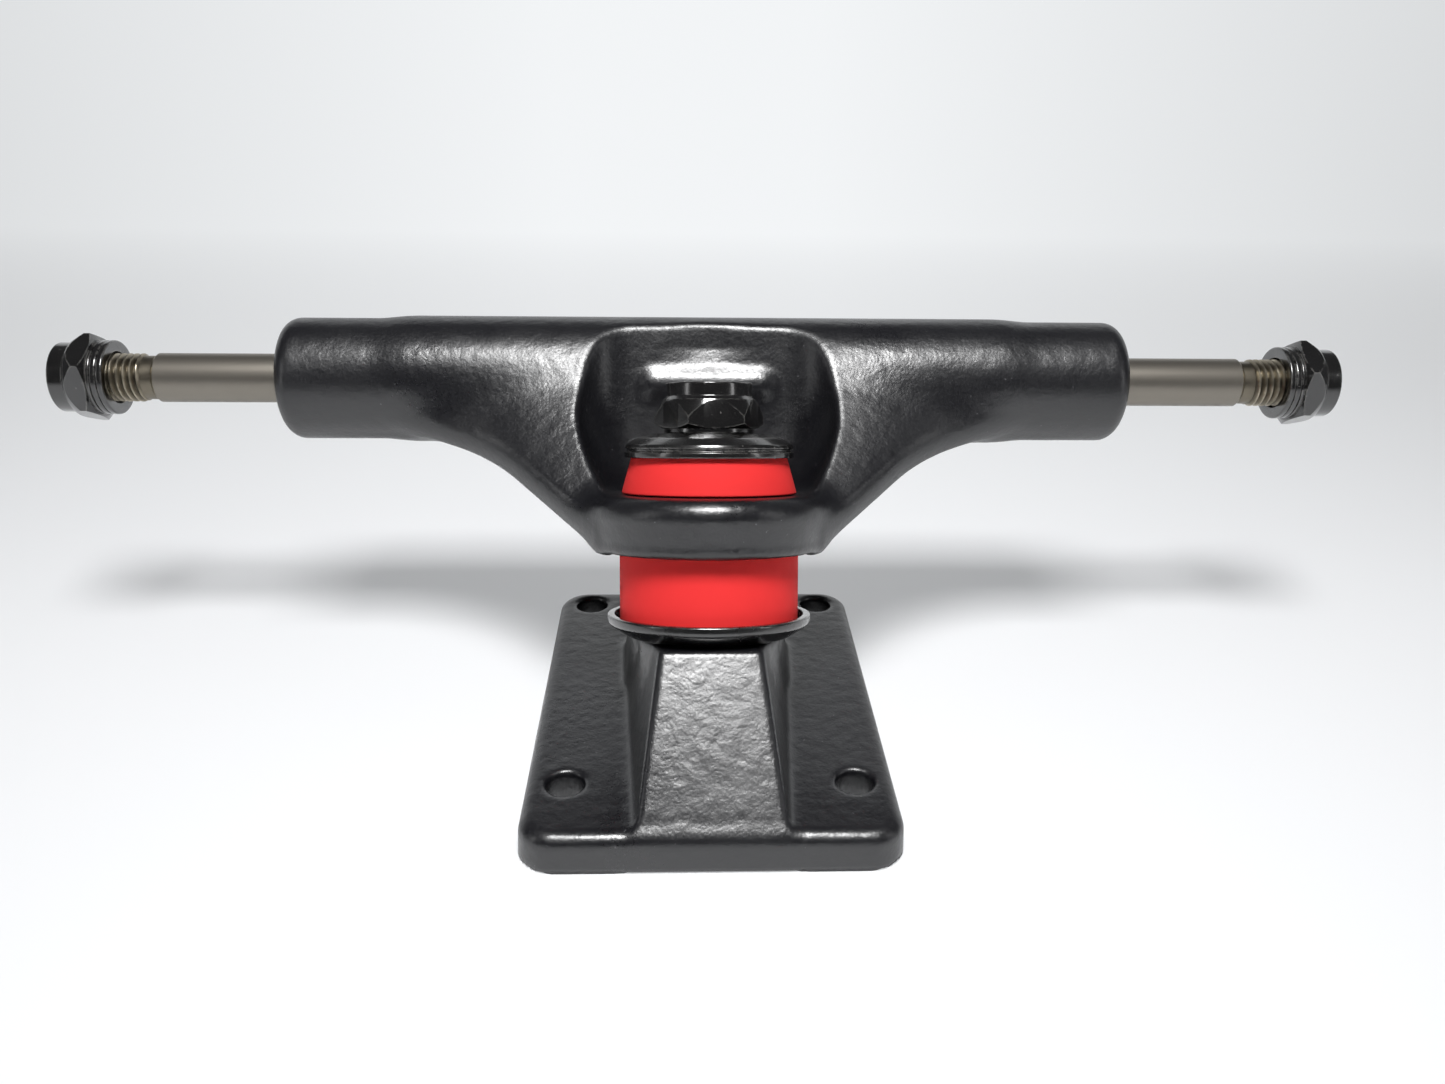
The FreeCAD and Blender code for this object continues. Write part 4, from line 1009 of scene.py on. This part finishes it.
class TRUCK_OT_kingpin(bpy.types.Operator):
    """Kingpin with its hexagon head and thread, and its lock nut with the insert"""
    bl_idname = "truck.kingpin"
    bl_label = "Kingpin and nut"

    def execute(self, context):
        sizes = context.scene.truck_stack
        hardware = context.scene.truck_hardware
        segments = hardware.segments
        matrix = axis_matrix(RING, KINGPIN_AXIS)
        radius = sizes.kingpin
        head_top = SEAT - 10.7 * MM
        head = rounded(
            [(0, KINGPIN_LOW), (20 * MM, KINGPIN_LOW), (20 * MM, head_top), (radius, head_top)],
            [0, 0, 0, 0],
        )
        flats = hardware.kingpin_nut

        def hexagon(r, height, angle):
            return (min(r, hex_radius(flats, angle)), height)

        thread_start = NUT_SEAT - 4 * MM
        head_part = lathe(head + [Vector((0, head_top))], matrix, segments, hexagon)
        shank = lathe(
            rounded([(0, head_top), (radius, head_top), (radius, thread_start), (0, thread_start)],
                    [0, 0, 0, 0]),
            matrix, segments,
        )
        thread = threaded_rod(
            thread_start - 0.5 * MM, KINGPIN_HIGH, radius - 0.05 * MM, hardware.thread_depth,
            THREAD_PITCH, 0.6 * MM, matrix, segments,
        )
        parts = [closed_mesh("part", *part) for part in (head_part, shank, thread)]
        mesh = merged("kingpin_bolt", parts)
        add_mesh("kingpin_bolt", mesh, "truck_base", "kingpin",
                 material("nut_plating"), math.radians(35))

        bore = radius + 0.02 * MM
        turned = matrix @ Matrix.Rotation(math.radians(7), 4, "Z")
        nut = lock_nut(
            turned, segments * 2, NUT_SEAT, 0.7 * MM, 4.3 * MM, NUT_TOP - NUT_SEAT - 5.0 * MM, flats,
            hardware.kingpin_collar, bore,
        )
        mesh = closed_mesh("kingpin_nut", *nut)
        add_mesh("kingpin_lock_nut", mesh, "kingpin_nut_group", "kingpin_nut",
                 material("nut_plating"), math.radians(28))
        ring = insert_ring(turned, segments * 2, bore, NUT_SEAT + 5.03 * MM, NUT_TOP - 0.4 * MM)
        mesh = closed_mesh("kingpin_insert", *ring)
        add_mesh("kingpin_nut_ring", mesh, "kingpin_lock", "kingpin_nut_insert",
                 material("locking_nylon"), math.radians(35))
        return {"FINISHED"}


def merged(name, meshes):
    """Several closed meshes as the shells of one."""
    work = bmesh.new()
    for mesh in meshes:
        work.from_mesh(mesh)
    out = bpy.data.meshes.new(name)
    work.to_mesh(out)
    work.free()
    return out


class TRUCK_OT_axle(bpy.types.Operator):
    """Axle: turned rod with bearing seats, necks and rolled threads"""
    bl_idname = "truck.axle"
    bl_label = "Axle"

    def execute(self, context):
        hardware = context.scene.truck_hardware
        segments = hardware.segments
        thread_start = AXLE_HALF - 10.6 * MM
        neck_start = thread_start - 2.0 * MM
        along = axis_matrix(AXLE, ACROSS, Vector((0, 0, 1)))
        core = 4.25 * MM
        end = [(core, BARREL_HALF), (hardware.axle, BARREL_HALF), (hardware.axle, neck_start),
               (hardware.axle - 0.45 * MM, neck_start + 0.5 * MM),
               (hardware.axle - 0.45 * MM, thread_start + 0.3 * MM)]
        stations = end + [(0, thread_start + 0.3 * MM)]
        section = stations + [(r, -h) for r, h in reversed(stations)]
        rod = closed_mesh("rod", *lathe([Vector(p) for p in section], along, segments))
        rod.materials.append(material("bare_steel"))
        threads = []
        for side in (1, -1):
            matrix = axis_matrix(AXLE, ACROSS * side, Vector((0, 0, 1)))
            threads.append(
                closed_mesh(
                    "thread",
                    *threaded_rod(
                        thread_start, AXLE_HALF, hardware.thread, hardware.thread_depth, THREAD_PITCH,
                        0.6 * MM, matrix, segments, hardware.thread - hardware.thread_depth,
                    ),
                )
            )
        mesh = merged("axle_rod", [rod] + threads)
        piece = add_mesh("axle_rod", mesh, "hanger_group", "axle",
                         material("bare_steel"), math.radians(35))
        piece.data.materials.append(material("thread_steel"))
        limit = neck_start + 0.2 * MM
        for face in piece.data.polygons:
            if abs(face.center.x) > limit:
                face.material_index = 1
        return {"FINISHED"}


class TRUCK_OT_axle_nuts(bpy.types.Operator):
    """Lock nuts with their inserts, and two speed washers, at both ends of the axle"""
    bl_idname = "truck.axle_nuts"
    bl_label = "Axle nuts and washers"

    def execute(self, context):
        hardware = context.scene.truck_hardware
        segments = hardware.segments
        for name, side in (("left", -1), ("right", 1)):
            matrix = axis_matrix(AXLE, ACROSS * side, Vector((0, 0, 1)))
            bore = hardware.thread + 0.07 * MM
            nut = lock_nut(
                matrix, segments * 2, NUT_START, 0.5 * MM, 3.4 * MM, NUT_END - NUT_START - 3.9 * MM,
                hardware.axle_nut, hardware.axle_collar, bore,
            )
            mesh = closed_mesh("nut", *nut)
            add_mesh(f"{name}_lock_nut", mesh, f"{name}_axle_nut_group", f"{name}_axle_nut",
                     material("nut_plating"), math.radians(28))
            ring = insert_ring(matrix, segments * 2, bore, NUT_START + 3.93 * MM, NUT_END - 0.4 * MM)
            mesh = closed_mesh("insert", *ring)
            add_mesh(f"{name}_nut_ring", mesh, f"{name}_axle_lock", f"{name}_axle_nut_insert",
                     material("locking_nylon"), math.radians(35))
            for place, start in (("inner", WASHER_START), ("outer", WASHER_MIDDLE)):
                end = start + 0.97 * MM
                section = rounded(
                    [(hardware.speed_bore, start), (hardware.speed_washer, start),
                     (hardware.speed_washer, end), (hardware.speed_bore, end)],
                    [0.15 * MM, 0.3 * MM, 0.3 * MM, 0.15 * MM],
                )
                mesh = closed_mesh("washer", *lathe(section, matrix, segments))
                add_mesh(f"{name}_{place}_washer", mesh, f"{name}_washer_{place}",
                         f"{name}_{place}_speed_washer", material("washer_plating"), math.radians(35))
        return {"FINISHED"}


class TRUCK_OT_pivot_cup(bpy.types.Operator):
    """Moulded cup that holds the hanger's pivot"""
    bl_idname = "truck.pivot_cup"
    bl_label = "Pivot cup"

    def execute(self, context):
        segments = context.scene.truck_hardware.segments
        matrix = axis_matrix(RING, PIVOT_AXIS)
        points = [PIVOT_AXIS.dot(v.co - RING) for v in frame["nodes"]["pivot_cup"].data.vertices]
        mouth, end = min(points), max(points)
        inner, outer = 6.65 * MM, 8.65 * MM
        floor = end - 1.5 * MM
        dome = [
            (inner * math.cos(a), floor - inner + inner * math.sin(a))
            for a in [math.radians(d) for d in range(80, -1, -10)]
        ]
        flange = outer + MM
        section = rounded([(inner, mouth), (flange, mouth), (flange, mouth + MM), (outer, mouth + MM)],
                          [0.4 * MM, 0.4 * MM, 0.2 * MM, 0])
        section = section + [Vector(p) for p in [(outer, end), (0, end), (0, floor)] + dome]
        mesh = closed_mesh("pivot_cup", *lathe(section, matrix, segments))
        add_mesh("pivot_cup_moulding", mesh, "truck_base", "pivot_cup",
                 material("cup_urethane"), math.radians(40))
        return {"FINISHED"}


class TRUCK_OT_stage(bpy.types.Operator):
    """Floor, lights and camera"""
    bl_idname = "truck.stage"
    bl_label = "Stage"

    def execute(self, context):
        scene = context.scene
        self.floor(scene)
        self.lights(scene)
        self.camera(scene)
        scene.view_settings.view_transform = "Standard"
        return {"FINISHED"}

    def floor(self, scene):
        """A floor that curves up into a wall behind the truck."""
        half, front, bend, top, radius = 1.6, -1.2, 0.50, 0.60, 0.35
        line = [(front, 0.0), (bend, 0.0)]
        steps = 16
        for step in range(1, steps + 1):
            angle = math.pi / 2 * step / steps
            line.append((bend + radius * math.sin(angle), radius - radius * math.cos(angle)))
        line.append((bend + radius, top))
        vertices = [(x, y, z) for y, z in line for x in (-half, half)]
        faces = [(2 * i, 2 * i + 1, 2 * i + 3, 2 * i + 2) for i in range(len(line) - 1)]
        mesh = bpy.data.meshes.new("floor")
        mesh.from_pydata(vertices, [], faces)
        mesh.shade_smooth()
        floor = bpy.data.objects.new("floor", mesh)
        scene.collection.objects.link(floor)
        stuff, tree, shader = new_material("pale_floor")
        shader.inputs["Base Color"].default_value = tuple(scene.truck_colours.floor) + (1.0,)
        shader.inputs["Roughness"].default_value = 0.8
        shader.inputs["Specular IOR Level"].default_value = 0.2
        place = add_node(tree, "ShaderNodeTexCoord")
        parts = add_node(tree, "ShaderNodeSeparateXYZ", Vector=place.outputs["Object"])
        # painted shade: the glowing sheet dims from 0.98 in the middle to 0.76 towards the sides
        off_centre = calculate(tree, "ABSOLUTE", parts.outputs["X"], 0.0)
        spread = calculate(tree, "MAXIMUM", calculate(tree, "ADD", parts.outputs["Y"], 0.22), 0.1)
        side_shade_ratio = calculate(tree, "DIVIDE", off_centre, spread)
        sheet = add_node(tree, "ShaderNodeEmission", Color=(0.965, 0.985, 1.0, 1.0))
        tree.links.new(remap(tree, side_shade_ratio, 0.10, 0.62, 0.98, 0.76), sheet.inputs["Strength"])
        seen = add_node(tree, "ShaderNodeLightPath")
        direct = calculate(tree, "MAXIMUM", seen.outputs["Is Camera Ray"], seen.outputs["Is Glossy Ray"])
        far = remap(tree, parts.outputs["Y"], 0.08, 0.45, 0.38, 0.92)
        mix = add_node(tree, "ShaderNodeMixShader")
        tree.links.new(calculate(tree, "MULTIPLY", direct, far), mix.inputs[0])
        tree.links.new(shader.outputs[0], mix.inputs[1])
        tree.links.new(sheet.outputs[0], mix.inputs[2])
        out = [n for n in tree.nodes if n.type == "OUTPUT_MATERIAL"][0]
        tree.links.new(mix.outputs[0], out.inputs["Surface"])
        mesh.materials.append(stuff)

    def lights(self, scene):
        self.lamp(scene, "key", (0.16, 0.14), 2.9, (0.0, -0.19, 0.46), (0.0, 0.0, 0.03))
        self.lamp(scene, "left", (0.05, 0.22), 0.09, (-0.36, -0.16, 0.16), (0.0, 0.0, 0.05))
        self.lamp(scene, "right", (0.05, 0.22), 0.09, (0.36, -0.16, 0.16), (0.0, 0.0, 0.05))
        world = bpy.data.worlds.new("studio")
        world.use_nodes = True
        tree = world.node_tree
        back = tree.nodes["Background"]
        back.inputs["Color"].default_value = (0.93, 0.95, 1.0, 1.0)
        seen = add_node(tree, "ShaderNodeLightPath")
        strength = remap(tree, seen.outputs["Is Camera Ray"], 0.0, 1.0, 0.08, 0.85)
        tree.links.new(strength, back.inputs["Strength"])
        scene.world = world

    def lamp(self, scene, name, size, energy, place, aim):
        """A rectangular lamp at a place, turned to a point."""
        data = bpy.data.lights.new(name, "AREA")
        data.shape = "RECTANGLE"
        data.size, data.size_y = size
        data.energy = energy
        lamp = bpy.data.objects.new(name, data)
        lamp.location = place
        lamp.rotation_euler = (Vector(aim) - Vector(place)).to_track_quat("-Z", "Y").to_euler()
        scene.collection.objects.link(lamp)
        return lamp

    def camera(self, scene):
        data = bpy.data.cameras.new("camera")
        data.sensor_fit = "HORIZONTAL"
        data.sensor_width = 36.0
        data.lens = 28.44
        data.clip_start, data.clip_end = 0.01, 20.0
        camera = bpy.data.objects.new("camera", data)
        yaw, pitch, roll = (math.radians(a) for a in (2.28, 24.91, 0.94))
        level = math.cos(pitch)
        forward = Vector((math.sin(yaw) * level, math.cos(yaw) * level, -math.sin(pitch)))
        right = Vector((math.cos(yaw), -math.sin(yaw), 0))
        up = right.cross(forward)
        rolled_right = right * math.cos(roll) + up * math.sin(roll)
        rolled_up = up * math.cos(roll) - right * math.sin(roll)
        turn = Matrix((rolled_right, rolled_up, -forward)).transposed().to_4x4()
        camera.matrix_world = Matrix.Translation((-0.0042, -0.16018, 0.10535)) @ turn
        scene.collection.objects.link(camera)
        scene.camera = camera


class TRUCK_PT_panel(bpy.types.Panel):
    bl_label = "Truck"
    bl_idname = "TRUCK_PT_panel"
    bl_space_type = "VIEW_3D"
    bl_region_type = "UI"
    bl_category = "Truck"

    def draw(self, context):
        for operator in OPERATORS:
            self.layout.operator(operator.bl_idname)
        scene = context.scene
        for label, group in (("Hanger", scene.truck_hanger), ("Baseplate", scene.truck_baseplate),
                             ("Stack", scene.truck_stack), ("Hardware", scene.truck_hardware),
                             ("Colours", scene.truck_colours)):
            box = self.layout.box()
            box.label(text=label)
            for name in group.__annotations__:
                box.prop(group, name)


GROUPS = {
    "truck_hanger": HangerSizes,
    "truck_baseplate": BaseplateSizes,
    "truck_stack": StackSizes,
    "truck_hardware": HardwareSizes,
    "truck_colours": TruckColours,
}
OPERATORS = [
    TRUCK_OT_stage, TRUCK_OT_hanger, TRUCK_OT_baseplate, TRUCK_OT_bushings, TRUCK_OT_cup_washers,
    TRUCK_OT_kingpin, TRUCK_OT_axle, TRUCK_OT_axle_nuts, TRUCK_OT_pivot_cup,
]


def register():
    for group in GROUPS.values():
        bpy.utils.register_class(group)
    for name, group in GROUPS.items():
        setattr(bpy.types.Scene, name, PointerProperty(type=group))
    for operator in OPERATORS:
        bpy.utils.register_class(operator)
    bpy.utils.register_class(TRUCK_PT_panel)


def unregister():
    bpy.utils.unregister_class(TRUCK_PT_panel)
    for operator in reversed(OPERATORS):
        bpy.utils.unregister_class(operator)
    for name, group in GROUPS.items():
        delattr(bpy.types.Scene, name)
        bpy.utils.unregister_class(group)


def main():
    register()
    for operator in OPERATORS:
        group, name = operator.bl_idname.split(".")
        getattr(getattr(bpy.ops, group), name)()


if __name__ == "__main__":
    main()
